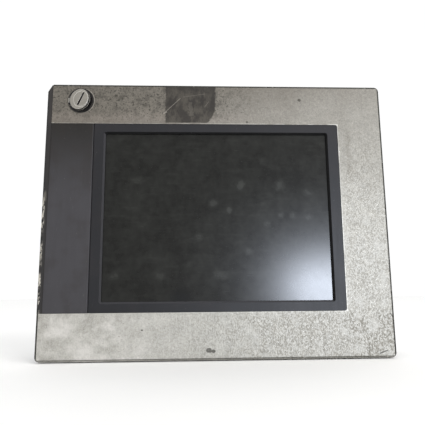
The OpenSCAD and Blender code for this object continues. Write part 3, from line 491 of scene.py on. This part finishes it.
    # painted shadow of the raised port ring on the plate along its left side
    grime_and_shade = ring_off.rise(1.6, 0.0) * around_x.rise(4, -6)
    tone = f.mix(grime_and_shade * 0.7, tone, srgb(48, 44, 38))
    rough = 0.56 + (patchy - 0.5) * 0.18 + patch * 0.1 + pitted * 0.25 + dark * 0.2 - lip * 0.1
    height = fine * 0.25 + mottle * 0.35 - pitted * 0.9 - patch * 0.2 - scores * 0.5 + knocks * 0.4
    metal = 0.22 - patch * 0.16 - pitted * 0.1 - dark * 0.15
    return f.feed(tone, rough, metal, f.bump(height, 0.55 * wear.relief, 0.16))


def strip_film():
    """Edge strip: black outside as painted shade on the rounded outer edge, grey-brown middle, with pale
    chips along its length.
    """
    low, high = (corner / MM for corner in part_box("edge_strip"))
    f = Finish("edge_strip", specular_ior_level=0.35)
    beside_insert = f.z.rise(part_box("side_insert")[1].z / MM + 1.5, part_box("side_insert")[1].z / MM - 1.5)
    cloud = f.noise(6, 5.0, 0.66, (1, 1, 0.4))
    base = f.mix(beside_insert, srgb(40, 36, 33), srgb(30, 27, 25))
    base = f.dim(base, 0.6 + cloud * 0.8)
    # painted shade: black along the outer edge, where the rounded strip turns away from the light
    outer = (f.x - low.x).rise(2.1, 1.2)
    base = f.mix(outer * 0.85, base, srgb(13, 12, 10))
    inner = (high.x - f.x).rise(1.3, 0.4)
    base = f.mix(inner * 0.7, base, srgb(22, 16, 12))
    chips = f.noise(3.4, 4.0, 0.7, (1.6, 1, 0.5), 4.0).rise(0.5, 0.56)
    where = f.noise(26, 2.0, 0.5, (0.2, 0.2, 1), 2.0).rise(0.36, 0.5) * f.z.rise(30, 12)
    chips = chips * where * (f.x - low.x).rise(3.6, 2.0)
    base = f.mix(chips * 0.9, base, srgb(192, 187, 176))
    pale = f.blot(low.x + 2.6, 22, 4.4, 15, 0.4, 0.5)
    base = f.mix(pale * 0.35, base, srgb(120, 116, 106))
    return f.feed(base, 0.55 + cloud * 0.2, normal=f.bump(cloud * 0.5 - chips, 0.5, 0.15))


def insert_film(name, tone, lower, wear):
    """Matt film of the side insert and bezel: fine grain, faint cloudy wipe marks, rubbed edges with a
    painted edge highlight, and painted light and shade by the way each face turns.
    """
    f = Finish(name, specular_ior_level=0.18)
    drop = f.z.rise(112, 15)
    cloud = f.noise(30, 4.0, 0.55, (1, 1, 0.55))
    wipes = f.noise(5, 3.0, 0.5, (1.6, 1, 0.1), 6.0)
    fine = f.noise(0.45, 2.0, 0.6)
    colour = f.dim(f.mix(drop, tone, lower), 0.84 + cloud * 0.22 + (wipes - 0.5) * 0.16)
    warm = f.noise(24, 3.0, 0.5, shift=9.0).rise(0.45, 0.65)
    colour = f.mix(warm * 0.25, colour, tuple(v * s for v, s in zip(tone, (1.35, 1.18, 1.1))))
    # paler rubbed edges, which also paint a highlight along the edges
    edge = f.worn_edge(0.5) * f.noise(6, 4.0, 0.7).rise(0.42, 0.72)
    colour = f.mix(edge * 0.4, colour, srgb(128, 126, 126))
    # painted light on faces turned up or to the right, painted shade on faces turned down or to the left
    normal = f.node("ShaderNodeNewGeometry", {}, {}, "Normal")
    facing = f.node("ShaderNodeSeparateXYZ", {}, {0: normal})
    up = Wire(f, facing.socket.node.outputs["Z"])
    colour = f.mix(up.rise(0.2, 0.45).most(facing.rise(0.2, 0.45)) * 0.5, colour, srgb(80, 80, 84))
    colour = f.mix(up.rise(-0.2, -0.45).most(facing.rise(-0.2, -0.45)) * 0.9, colour, srgb(10, 10, 11))
    lint = f.cells(6, shift=3.0).rise(0.05, 0.02)
    hair = f.noise(0.6, 2.0, 0.5, (1, 1, 0.06), 14.0).rise(0.7, 0.76) * wear.relief
    colour = f.mix((lint * 0.5).most(hair * 0.12), colour, srgb(150, 148, 146))
    return f.feed(
        colour, 0.44 + cloud * 0.1 + (wipes - 0.5) * 0.08 + edge * 0.08, normal=f.bump(fine, 0.22, 0.04)
    )


def touch_surface(tones, wear):
    """Anti-glare touch face, switched off: nearly black, with finger marks, wipe haze and fine scratches."""
    low, high = (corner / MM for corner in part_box("touch_glass"))
    f = Finish("touch_glass", specular_ior_level=0.22)
    mid_x, mid_z = (low.x + high.x) / 2, (low.z + high.z) / 2
    span_x, span_z = high.x - low.x, high.z - low.z
    haze = f.noise(34, 5.0, 0.6)
    breath = f.noise(9, 4.0, 0.62, shift=5.0)
    prints = f.blot(mid_x + 0.10 * span_x, mid_z + 0.17 * span_z, 13, 16, 0.5, 0.9)
    for across, up, wide, tall, level in (
        (-0.02, 0.07, 15, 14, 0.9), (0.05, 0.03, 10, 12, 1.0), (0.27, 0.17, 15, 17, 0.7),
        (0.39, 0.13, 14, 13, 0.6), (-0.33, 0.20, 20, 12, 0.45), (-0.08, -0.12, 12, 12, 0.5),
        (0.21, -0.05, 12, 12, 0.45), (0.13, -0.2, 14, 12, 0.5), (-0.43, -0.33, 18, 12, 0.6),
        (-0.24, -0.33, 18, 12, 0.5), (0.01, -0.33, 24, 13, 0.6), (0.27, 0.0, 10, 10, 0.6),
        (0.39, -0.01, 13, 10, 0.7), (0.32, 0.0, 12, 12, 0.5), (-0.12, -0.27, 10, 10, 0.35),
        (0.2, 0.31, 13, 14, 0.45), (-0.16, 0.28, 16, 18, 0.25),
    ):
        mark = f.blot(mid_x + across * span_x, mid_z + up * span_z, wide, tall, 0.5, 0.9)
        prints = prints.most(mark * level)
    prints = prints * (0.5 + f.noise(2.2, 3.0, 0.7) * 0.9) * wear.fingers
    wiped = f.noise(7, 4.0, 0.6, (0.25, 1, 1.4), 12.0).rise(0.5, 0.8) * 0.5
    specks = f.cells(5.2, shift=2.0).rise(0.045, 0.02)
    glow = 0.05 + prints * 0.5 + wiped * 0.16 + (haze - 0.5) * 0.3 + (breath - 0.5) * 0.26 + specks * 0.4
    glow = glow.most(0.0)
    colour = f.mix(glow.least(1.0), tones.glass, srgb(84, 86, 82))
    dull_spot = f.blot(mid_x - 0.15 * span_x, mid_z - 0.45 * span_z, 42, 26, 0.2, 0.95)
    colour = f.mix(dull_spot * 0.8, colour, srgb(4, 5, 8))
    scratch = f.noise(0.9, 2.0, 0.5, (0.06, 1, 1.2), 20.0).rise(0.7, 0.76)
    rough = 0.25 + prints * 0.1 + (breath - 0.5) * 0.03 + (haze - 0.5) * 0.04 + scratch * 0.05
    return f.feed(colour, rough, normal=f.bump(f.noise(0.3, 1.0), 0.05, 0.02))


def cover_face(tones):
    """Satin port cover: turned face, bright rim as a painted highlight, and painted shade in the coin slot.
    """
    f = Finish("cover_metal", specular_ior_level=0.15)
    fine = f.noise(0.5, 3.0, 0.6)
    cloud = f.noise(5, 4.0, 0.6, shift=3.0)
    edge = f.worn_edge(0.8)
    latch = next(joint for joint in frame["joints"] if joint["child"] == "port_latch")
    out = Vector(latch["axis"]).normalized()
    face_level = max(out.dot(vert.co) for vert in NODES["port_latch"].data.vertices) / MM
    level = f.x * out.x + f.y * out.y + f.z * out.z
    # painted shade in the coin slot, below the level of the latch's face
    hollow = level.rise(face_level - 0.06, face_level - 0.2) * level.rise(face_level - 1.7, face_level - 1.5)
    tone = f.dim(tones.cover, 0.76 + cloud * 0.32 + (fine - 0.5) * 0.3)
    tone = f.mix(f.noise(1.8, 4.0, 0.7, shift=8.0).rise(0.56, 0.75) * 0.45, tone, srgb(92, 86, 78))
    # painted highlight along the rim of the cover and latch
    tone = f.mix(edge * 0.9, tone, srgb(236, 233, 226))
    tone = f.mix(hollow * 0.96, tone, srgb(16, 13, 11))
    rough = 0.46 + cloud * 0.16 - edge * 0.12 + hollow * 0.3
    return f.feed(tone, rough, 0.5 - hollow * 0.5, f.bump(fine * 0.5 + cloud * 0.3, 0.4, 0.08))


def ring_plastic():
    """Black port ring: slightly glossy moulding with pale dust caught on it."""
    f = Finish("port_black", specular_ior_level=0.2)
    cloud = f.noise(3, 4.0, 0.65)
    dust = cloud.rise(0.52, 0.72)
    edge = f.worn_edge(0.3)
    tone = f.mix(dust * 0.3, (0.012, 0.011, 0.011), (0.2, 0.18, 0.15))
    tone = f.mix(edge * 0.35, tone, (0.22, 0.21, 0.2))
    return f.feed(tone, 0.36 + dust * 0.3, normal=f.bump(f.noise(0.4, 2.0), 0.25, 0.05))


def blank_label():
    """Silver label with an empty ruled form and nothing written in it."""
    low, high = (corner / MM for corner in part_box("rating_plate"))
    f = Finish("label")
    inset_x = (f.x - low.x).least(high.x - f.x)
    inset_z = (f.z - low.z).least(high.z - f.z)
    border = inset_x.least(inset_z)
    frame_line = border.rise(1.7, 1.9) * border.rise(2.3, 2.1)
    rows = abs((f.z * (2 * math.pi / 16.0)).sine()).rise(0.07, 0.03)
    columns = abs(f.x - (low.x + 30)).rise(0.2, 0.1)
    ruled = frame_line.most((rows.most(columns)) * border.rise(2.0, 2.2))
    scuff = f.noise(3, 5.0, 0.7).rise(0.56, 0.72)
    brushed = f.noise(0.4, 2.0, 0.5, (0.04, 1, 1))
    tone = f.dim((0.66, 0.66, 0.66), 0.88 + brushed * 0.2)
    tone = f.mix(ruled * 0.85, tone, (0.06, 0.06, 0.065))
    tone = f.mix(scuff * 0.3, tone, (0.4, 0.38, 0.34))
    return f.feed(tone, 0.4 + scuff * 0.25, 0.55 - ruled * 0.5, f.bump(brushed, 0.15, 0.03))


def dark_anodised(name, colour):
    """Anodised aluminium fins with sawn edges."""
    f = Finish(name)
    cloud = f.noise(6, 3.0)
    lines = f.noise(0.4, 2.0, 0.5, (1, 0.1, 1))
    edge = f.worn_edge(0.3)
    tone = f.mix(edge * 0.5, f.dim(colour, 0.8 + cloud * 0.35), (0.6, 0.6, 0.6))
    return f.feed(tone, 0.42 + lines * 0.15, 0.85, f.bump(lines, 0.3, 0.06))


# ---------------------------------------------------------------- mesh helpers
def soften(node, width, segments=2):
    """Rounds a CAD piece's sharp edges with modifiers, so that they catch light."""
    piece = NODES[node]
    weld = piece.modifiers.new("join seams", "WELD")
    weld.merge_threshold = 1e-6
    bevel = piece.modifiers.new("eased edges", "BEVEL")
    bevel.width = width * MM
    bevel.segments = segments
    bevel.limit_method = "ANGLE"
    bevel.angle_limit = math.radians(35)
    bevel.use_clamp_overlap = True
    bevel.miter_outer = "MITER_ARC"
    shade = piece.modifiers.new("even shading", "WEIGHTED_NORMAL")
    shade.keep_sharp = True
    for face in piece.data.polygons:
        face.use_smooth = True


def dress(node, material, width=0.0, segments=2):
    """Gives a CAD piece its finish, and eased edges if a width is given."""
    piece = NODES[node]
    piece.data.materials.clear()
    piece.data.materials.append(material)
    if width:
        soften(node, width, segments)


def eased_block(bm, low, high, ease):
    """A box from low to high, in millimetres, with its edges eased."""
    made = bmesh.ops.create_cube(bm, size=1.0)["verts"]
    centre = [(a + b) / 2 for a, b in zip(low, high)]
    for vert in made:
        vert.co = Vector([(c + v * (b - a)) * MM for c, v, a, b in zip(centre, vert.co, low, high)])
    edges = list({edge for vert in made for edge in vert.link_edges})
    bmesh.ops.bevel(bm, geom=edges, offset=ease * MM, segments=2, affect="EDGES", profile=0.6)


def bent_wire(bm, points, radius, sides=8):
    """A round wire through points, in millimetres, with closed ends."""
    path = [Vector(p) * MM for p in points]
    rings = []
    for number, point in enumerate(path):
        ahead = path[min(number + 1, len(path) - 1)] - path[max(number - 1, 0)]
        turn = ahead.to_track_quat("Z", "X")
        ring = [
            bm.verts.new(point + turn @ Vector((math.cos(a), math.sin(a), 0)) * radius * MM)
            for a in (2 * math.pi * s / sides for s in range(sides))
        ]
        rings.append(ring)
    for first, second in zip(rings, rings[1:]):
        for s in range(sides):
            bm.faces.new((first[s], first[(s + 1) % sides], second[(s + 1) % sides], second[s]))
    bm.faces.new(list(reversed(rings[0])))
    bm.faces.new(rings[-1])


def finished(bm, name, material, body):
    """Turns a built mesh into a piece that rides on a body."""
    bmesh.ops.recalc_face_normals(bm, faces=bm.faces)
    mesh = bpy.data.meshes.new(name)
    bm.to_mesh(mesh)
    bm.free()
    for face in mesh.polygons:
        face.use_smooth = True
    mesh.materials.append(material)
    piece = bpy.data.objects.new(name, mesh)
    bpy.context.scene.collection.objects.link(piece)
    shade = piece.modifiers.new("even shading", "WEIGHTED_NORMAL")
    shade.keep_sharp = True
    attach(piece, body)
    return piece


# ---------------------------------------------------------------- settings
class PanelTones(bpy.types.PropertyGroup):
    # dull_metal and pale_metal are the two ends of the front's painted light gradient: painted shade on
    # dirtier metal at the top left, painted light at the bottom right
    dull_metal: bpy.props.FloatVectorProperty(
        name="Dull metal",
        description="Aluminium where it is dirty, at the top left",
        subtype="COLOR", default=srgb(106, 101, 93),
    )
    pale_metal: bpy.props.FloatVectorProperty(
        name="Pale metal",
        description="Aluminium where it is clean, at the bottom right",
        subtype="COLOR", default=srgb(164, 162, 155),
    )
    insert: bpy.props.FloatVectorProperty(
        name="Side insert",
        description="Dark film of the side insert",
        subtype="COLOR", default=srgb(36, 34, 32),
    )
    bezel: bpy.props.FloatVectorProperty(
        name="Bezel", description="Dark film round the display", subtype="COLOR", default=srgb(37, 37, 40)
    )
    glass: bpy.props.FloatVectorProperty(
        name="Touch face",
        description="Colour of the switched-off display",
        subtype="COLOR", default=srgb(15, 15, 12),
    )
    cover: bpy.props.FloatVectorProperty(
        name="Port cover",
        description="Satin metal of the port cover and its latch",
        subtype="COLOR", default=srgb(150, 146, 138),
    )


class PanelWear(bpy.types.PropertyGroup):
    stain: bpy.props.FloatProperty(
        name="Stain",
        description="Strength of the dark patch on the top rail",
        subtype="FACTOR", default=0.92, min=0, max=1,
    )
    relief: bpy.props.FloatProperty(
        name="Relief", description="Depth of pits and scratches in the front", default=1.0, min=0, max=3
    )
    fingers: bpy.props.FloatProperty(
        name="Finger marks", description="Strength of the marks on the touch face", default=0.5, min=0, max=2
    )


class PanelSizes(bpy.types.PropertyGroup):
    sheet_ease: bpy.props.FloatProperty(
        name="Sheet edges",
        description="Easing of sheet and moulded edges, in millimetres",
        default=0.25, min=0.05, max=1,
    )
    front_ease: bpy.props.FloatProperty(
        name="Front edges",
        description="Easing of the front plate's edges, in millimetres",
        default=0.3, min=0.05, max=1,
    )


class PanelStage(bpy.types.PropertyGroup):
    camera_at: bpy.props.FloatVectorProperty(
        name="Camera place", description="Where the camera stands", subtype="TRANSLATION", unit="LENGTH",
        default=(-0.0244, -0.4887, -0.0743),
    )
    camera_turn: bpy.props.FloatVectorProperty(
        name="Camera turn", description="How the camera is turned", subtype="EULER", unit="ROTATION",
        default=tuple(math.radians(a) for a in (99.243, 0.468, -2.254)),
    )
    lens: bpy.props.FloatProperty(
        name="Lens",
        description="Focal length in millimetres on a 36 mm sensor",
        default=38.12, min=10, max=200,
    )
    surround: bpy.props.FloatProperty(
        name="Surround",
        description="Strength of the even light all round",
        default=1.02, min=0, max=5,
    )
    key: bpy.props.FloatProperty(
        name="Key light",
        description="Power of the soft light from the upper right",
        unit="POWER", default=14.0, min=0, max=500,
    )
    low_box: bpy.props.FloatProperty(
        name="Low light",
        description="Power of the soft light low on the right",
        unit="POWER", default=13.5, min=0, max=500,
    )


def settings():
    return bpy.context.scene.touch_panel


class TouchPanelSettings(bpy.types.PropertyGroup):
    tones: bpy.props.PointerProperty(name="Tones", description="Colours of the finishes", type=PanelTones)
    wear: bpy.props.PointerProperty(name="Wear", description="Amounts of wear", type=PanelWear)
    sizes: bpy.props.PointerProperty(name="Sizes", description="Sizes of eased edges", type=PanelSizes)
    stage: bpy.props.PointerProperty(name="Stage", description="Camera and lights", type=PanelStage)


# ---------------------------------------------------------------- operators
class PANEL_OT_front_plate(bpy.types.Operator):
    """Finish the aluminium front plate"""

    bl_idname = "touch_panel.front_plate"
    bl_label = "Front Plate"

    def execute(self, context):
        s = settings()
        dress("front_plate", plate_metal(s.wear, s.tones), s.sizes.front_ease)
        return {"FINISHED"}


class PANEL_OT_edge_strip(bpy.types.Operator):
    """Finish the dark strip let into the left edge"""

    bl_idname = "touch_panel.edge_strip"
    bl_label = "Edge Strip"

    def execute(self, context):
        dress("edge_strip", strip_film(), 0.15)
        return {"FINISHED"}


class PANEL_OT_overlay(bpy.types.Operator):
    """Finish the side insert and the display's bezel"""

    bl_idname = "touch_panel.overlay"
    bl_label = "Insert and Bezel"

    def execute(self, context):
        s = settings()
        insert, bezel = tuple(s.tones.insert), tuple(s.tones.bezel)
        paler = tuple(v * k for v, k in zip(insert, (3.0, 3.2, 3.9)))
        darker = tuple(v * 0.85 for v in bezel)
        dress("side_insert", insert_film("dark_insert", insert, paler, s.wear), 0.12)
        dress("display_bezel", insert_film("dark_bezel", bezel, darker, s.wear), 0.12)
        return {"FINISHED"}


class PANEL_OT_touch_face(bpy.types.Operator):
    """Finish the touch face and its hidden seal"""

    bl_idname = "touch_panel.touch_face"
    bl_label = "Touch Face"

    def execute(self, context):
        s = settings()
        dress("touch_glass", touch_surface(s.tones, s.wear))
        dress("touch_seal", sealing_rubber("touch_foam", (0.02, 0.02, 0.02)))
        return {"FINISHED"}


class PANEL_OT_seals(bpy.types.Operator):
    """Finish the panel's seal and the port cover's seal"""

    bl_idname = "touch_panel.seals"
    bl_label = "Seals"

    def execute(self, context):
        rubber = sealing_rubber("black_rubber")
        dress("panel_gasket", rubber, 0.3)
        dress("cover_seal", rubber)
        return {"FINISHED"}


class PANEL_OT_service_port(bpy.types.Operator):
    """Finish the service port: ring, cover, latch, keeper, socket and nut"""

    bl_idname = "touch_panel.service_port"
    bl_label = "Service Port"

    def execute(self, context):
        face = cover_face(settings().tones)
        dress("port_cover", face, 0.12)
        dress("port_latch", face, 0.12)
        dress("port_ring", ring_plastic(), 0.15)
        steel = turned_metal("bright_steel", (0.72, 0.72, 0.7), 0.22, grime_and_shade=0.2)
        for node in ("port_keeper", "port_hinge_pin", "latch_tongue"):
            dress(node, steel)
        dress("port_socket", moulded("socket_black", (0.016, 0.016, 0.018), 0.42), 0.15)
        dress("port_nut", moulded("nut_black", (0.022, 0.022, 0.024), 0.4), 0.2)
        return {"FINISHED"}


class PANEL_OT_display(bpy.types.Operator):
    """Finish the display module, its bracket and its ribbon"""

    bl_idname = "touch_panel.display"
    bl_label = "Display Module"

    def execute(self, context):
        dress("lcd_frame", turned_metal("display_frame", (0.62, 0.62, 0.6), 0.34), 0.2)
        dress("lcd_cell", moulded("display_cell", (0.01, 0.01, 0.012), 0.2, 0.05, dust=0.02))
        dress("lcd_backlight", moulded("backlight_white", (0.68, 0.68, 0.64), 0.5))
        dress("display_bracket", sheet_steel("bracket_sheet"), 0.25)
        dress("display_cable", printed_film("ribbon", (0.6, 0.57, 0.5), (0.3, 0.27, 0.2)))
        return {"FINISHED"}


class PANEL_OT_boards(bpy.types.Operator):
    """Finish the circuit boards and what stands on them"""

    bl_idname = "touch_panel.boards"
    bl_label = "Circuit Boards"

    def execute(self, context):
        green = circuit_board("green_board")
        for node in ("inverter_board", "main_board", "memory_module"):
            dress(node, green)
        dress("board_standoffs", turned_metal("standoff_brass", (0.72, 0.55, 0.26), 0.28, grime_and_shade=0.15), 0.15)
        dress("board_chips", moulded("chip_black", (0.014, 0.014, 0.016), 0.46, 0.5), 0.2)
        dress("heat_sink", dark_anodised("heat_sink", (0.16, 0.16, 0.18)), 0.12)
        dress("battery_holder", moulded("holder_black", (0.02, 0.02, 0.022), 0.45), 0.2)
        dress("battery", turned_metal("battery_steel", (0.76, 0.76, 0.74), 0.24, grime_and_shade=0.1), 0.2)
        return {"FINISHED"}


class PANEL_OT_housing(bpy.types.Operator):
    """Finish the housing, its cover and the blank label"""

    bl_idname = "touch_panel.housing"
    bl_label = "Housing"

    def execute(self, context):
        ease = settings().sizes.sheet_ease
        dress("rear_housing", sheet_steel("housing_sheet"), ease)
        dress("rear_cover", sheet_steel("cover_sheet", (0.55, 0.56, 0.55)), ease)
        dress("rating_plate", blank_label(), 0.1)
        return {"FINISHED"}


class PANEL_OT_screws(bpy.types.Operator):
    """Finish the screws, the earth stud and its nut"""

    bl_idname = "touch_panel.screws"
    bl_label = "Screws"

    def execute(self, context):
        steel = turned_metal("screw_steel", (0.66, 0.66, 0.67), 0.3, grime_and_shade=0.35)
        for node in ("bracket_screws", "board_screws", "housing_screws", "cover_screws", "earth_nut"):
            dress(node, steel, 0.15)
        dress("earth_stud", turned_metal("stud_brass", (0.7, 0.54, 0.25), 0.3, pitch=0.8, axis="z"), 0.15)
        return {"FINISHED"}


class PANEL_OT_sockets(bpy.types.Operator):
    """Finish the sockets along the floor and fit their contacts and lamps"""

    bl_idname = "touch_panel.sockets"
    bl_label = "Sockets"

    def execute(self, context):
        tin = turned_metal("socket_metal", (0.74, 0.74, 0.73), 0.26, grime_and_shade=0.22)
        for node in ("ethernet_sockets", "usb_sockets", "serial_socket"):
            dress(node, tin, 0.2)
        green = moulded("plug_green", (0.015, 0.2, 0.06), 0.45)
        dress("power_header", green, 0.15)
        dress("power_plug", green, 0.25)
        dress("card_socket", moulded("card_guide", (0.02, 0.02, 0.022), 0.5), 0.2)
        dress("memory_card", moulded("card_shell", (0.04, 0.05, 0.075), 0.42), 0.25)
        dress("eject_button", moulded("eject_black", (0.02, 0.02, 0.02), 0.45), 0.3)
        dress("reset_button", moulded("reset_red", (0.42, 0.035, 0.02), 0.4), 0.2)
        self.contacts()
        return {"FINISHED"}

    def contacts(self):
        """Contact springs and lamps of the network sockets, and contact strips of the USB tongues."""
        gold = turned_metal("contact_gold", (0.83, 0.6, 0.22), 0.22, grime_and_shade=0.05)
        network_low, network_high = (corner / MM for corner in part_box("ethernet_sockets"))
        usb_low, usb_high = (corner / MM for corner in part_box("usb_sockets"))
        floor = network_low.z
        springs = bmesh.new()
        lamps = bmesh.new()
        for left in (network_low.x, network_high.x - 16):
            for way in range(8):
                x = left + 8 + (way - 3.5) * 1.02
                bends = ((3.2, 11.6), (3.4, 8), (4.6, 4.5), (6.2, 2.6), (6.4, 2.2))
                bent_wire(springs, [(x, network_low.y + out, floor + up) for out, up in bends], 0.23)
            for side in (1.2, 11.8):
                lamp_low = (left + side, network_high.y - 2.9, floor - 0.15)
                eased_block(lamps, lamp_low, (left + side + 3, network_high.y - 0.9, floor + 0.4), 0.25)
        finished(springs, "network_contacts", gold, "panel")
        clear = moulded("lamp_clear", (0.5, 0.62, 0.3), 0.2, 0.05, dust=0.03)
        finished(lamps, "network_lamps", clear, "panel")
        strips = bmesh.new()
        for left in (usb_low.x, usb_high.x - 14.4):
            for way in range(4):
                x = left + 7.2 + (way - 1.5) * 2.3
                strip_low = (x - 0.5, usb_high.y - 3.62, floor + 1.2)
                eased_block(strips, strip_low, (x + 0.5, usb_high.y - 3.36, floor + 9), 0.08)
        finished(strips, "usb_contacts", gold, "panel")


class PANEL_OT_clamps(bpy.types.Operator):
    """Finish the six swing-out clamps"""

    bl_idname = "touch_panel.clamps"
    bl_label = "Clamps"

    def execute(self, context):
        cast = cast_metal("cast_metal")
        thread = black_oxide("black_steel", 0.8)
        for number in range(1, 7):
            dress(f"clamp_arm_{number}", cast, 0.3)
            dress(f"clamp_screw_{number}", thread, 0.12)
        dress("clamp_pins", turned_metal("pin_steel", (0.68, 0.68, 0.68), 0.28), 0.2)
        return {"FINISHED"}


class PANEL_OT_stage(bpy.types.Operator):
    """Set the pale floor, the soft lights and the camera"""

    bl_idname = "touch_panel.stage"
    bl_label = "Stage"

    def execute(self, context):
        s = settings().stage
        scene = context.scene
        self.floor()
        world = bpy.data.worlds.new("even surround")
        world.use_nodes = True
        world.node_tree.nodes["Background"].inputs["Color"].default_value = (1.0, 1.0, 1.0, 1.0)
        world.node_tree.nodes["Background"].inputs["Strength"].default_value = s.surround
        scene.world = world
        self.soft_light("key", (1.0, -1.2, 1.35), (0.0, 0.0, 0.0), 1.1, 0.9, s.key, (1.0, 0.985, 0.96))
        # adds shine only, for the pale reflection low on the right of the touch face
        low_place, low_target, cool_white = (0.41, -0.95, -0.085), (0.1, 0.0, -0.08), (0.8, 0.87, 1.0)
        wide, high, power = 0.24, 0.12, s.low_box
        self.soft_light("low_right", low_place, low_target, wide, high, power, cool_white, only_shine=True)
        camera = bpy.data.objects.new("camera", bpy.data.cameras.new("camera"))
        camera.data.lens = s.lens
        camera.data.sensor_width = 36.0
        camera.data.clip_start = 0.01
        camera.location = s.camera_at
        camera.rotation_euler = Euler(s.camera_turn)
        scene.collection.objects.link(camera)
        scene.camera = camera
        scene.view_settings.view_transform = "Standard"
        return {"FINISHED"}

    def soft_light(self, name, place, target, wide, high, power, colour, only_shine=False):
        data = bpy.data.lights.new(name, "AREA")
        data.shape = "RECTANGLE"
        data.size = wide
        data.size_y = high
        data.energy = power
        data.color = colour
        light = bpy.data.objects.new(name, data)
        light.location = place
        light.rotation_euler = (Vector(target) - Vector(place)).to_track_quat("-Z", "Y").to_euler()
        light.visible_camera = False
        light.visible_diffuse = not only_shine
        bpy.context.scene.collection.objects.link(light)

    def floor(self):
        """A wide round floor whose rim turns gently down, under the lowest point of the panel."""
        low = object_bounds()[0]
        bm = bmesh.new()
        rings = []
        for radius, drop in ((0.15, 0), (0.4, 0), (0.8, 0), (1.4, 0), (2.2, 0), (3.2, 0.01), (4.0, 0.05)):
            ring = []
            for step in range(64):
                angle = 2 * math.pi * step / 64
                across, along = radius * math.cos(angle), radius * math.sin(angle)
                ring.append(bm.verts.new((across, along, low[2] - 0.0005 - drop)))
            rings.append(ring)
        bm.faces.new(rings[0])
        for inner, outer in zip(rings, rings[1:]):
            for step in range(64):
                after = (step + 1) % 64
                bm.faces.new((inner[step], inner[after], outer[after], outer[step]))
        bmesh.ops.recalc_face_normals(bm, faces=bm.faces)
        mesh = bpy.data.meshes.new("floor")
        bm.to_mesh(mesh)
        bm.free()
        f = Finish("pale_floor", specular_ior_level=0.2, roughness=0.8)
        tone = f.dim((0.93, 0.93, 0.925), 0.99 + f.noise(60, 3.0) * 0.02)
        mesh.materials.append(f.feed(tone))
        floor = bpy.data.objects.new("floor", mesh)
        bpy.context.scene.collection.objects.link(floor)
        floor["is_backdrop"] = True


STEPS = (
    PANEL_OT_front_plate, PANEL_OT_edge_strip, PANEL_OT_overlay, PANEL_OT_touch_face, PANEL_OT_seals,
    PANEL_OT_service_port, PANEL_OT_display, PANEL_OT_boards, PANEL_OT_housing, PANEL_OT_screws,
    PANEL_OT_sockets, PANEL_OT_clamps, PANEL_OT_stage,
)


class PANEL_PT_sidebar(bpy.types.Panel):
    """Lists the steps that dress the panel"""

    bl_idname = "PANEL_PT_touch_panel"
    bl_label = "Touch Panel"
    bl_space_type = "VIEW_3D"
    bl_region_type = "UI"
    bl_category = "Touch Panel"

    def draw(self, context):
        for step in STEPS:
            self.layout.operator(step.bl_idname)


CLASSES = (PanelTones, PanelWear, PanelSizes, PanelStage, TouchPanelSettings, *STEPS, PANEL_PT_sidebar)


def register():
    for item in CLASSES:
        bpy.utils.register_class(item)
    bpy.types.Scene.touch_panel = bpy.props.PointerProperty(type=TouchPanelSettings)


def unregister():
    del bpy.types.Scene.touch_panel
    for item in reversed(CLASSES):
        bpy.utils.unregister_class(item)


def main():
    register()
    for step in STEPS:
        area, name = step.bl_idname.split(".")
        getattr(getattr(bpy.ops, area), name)()


if __name__ == "__main__":
    main()
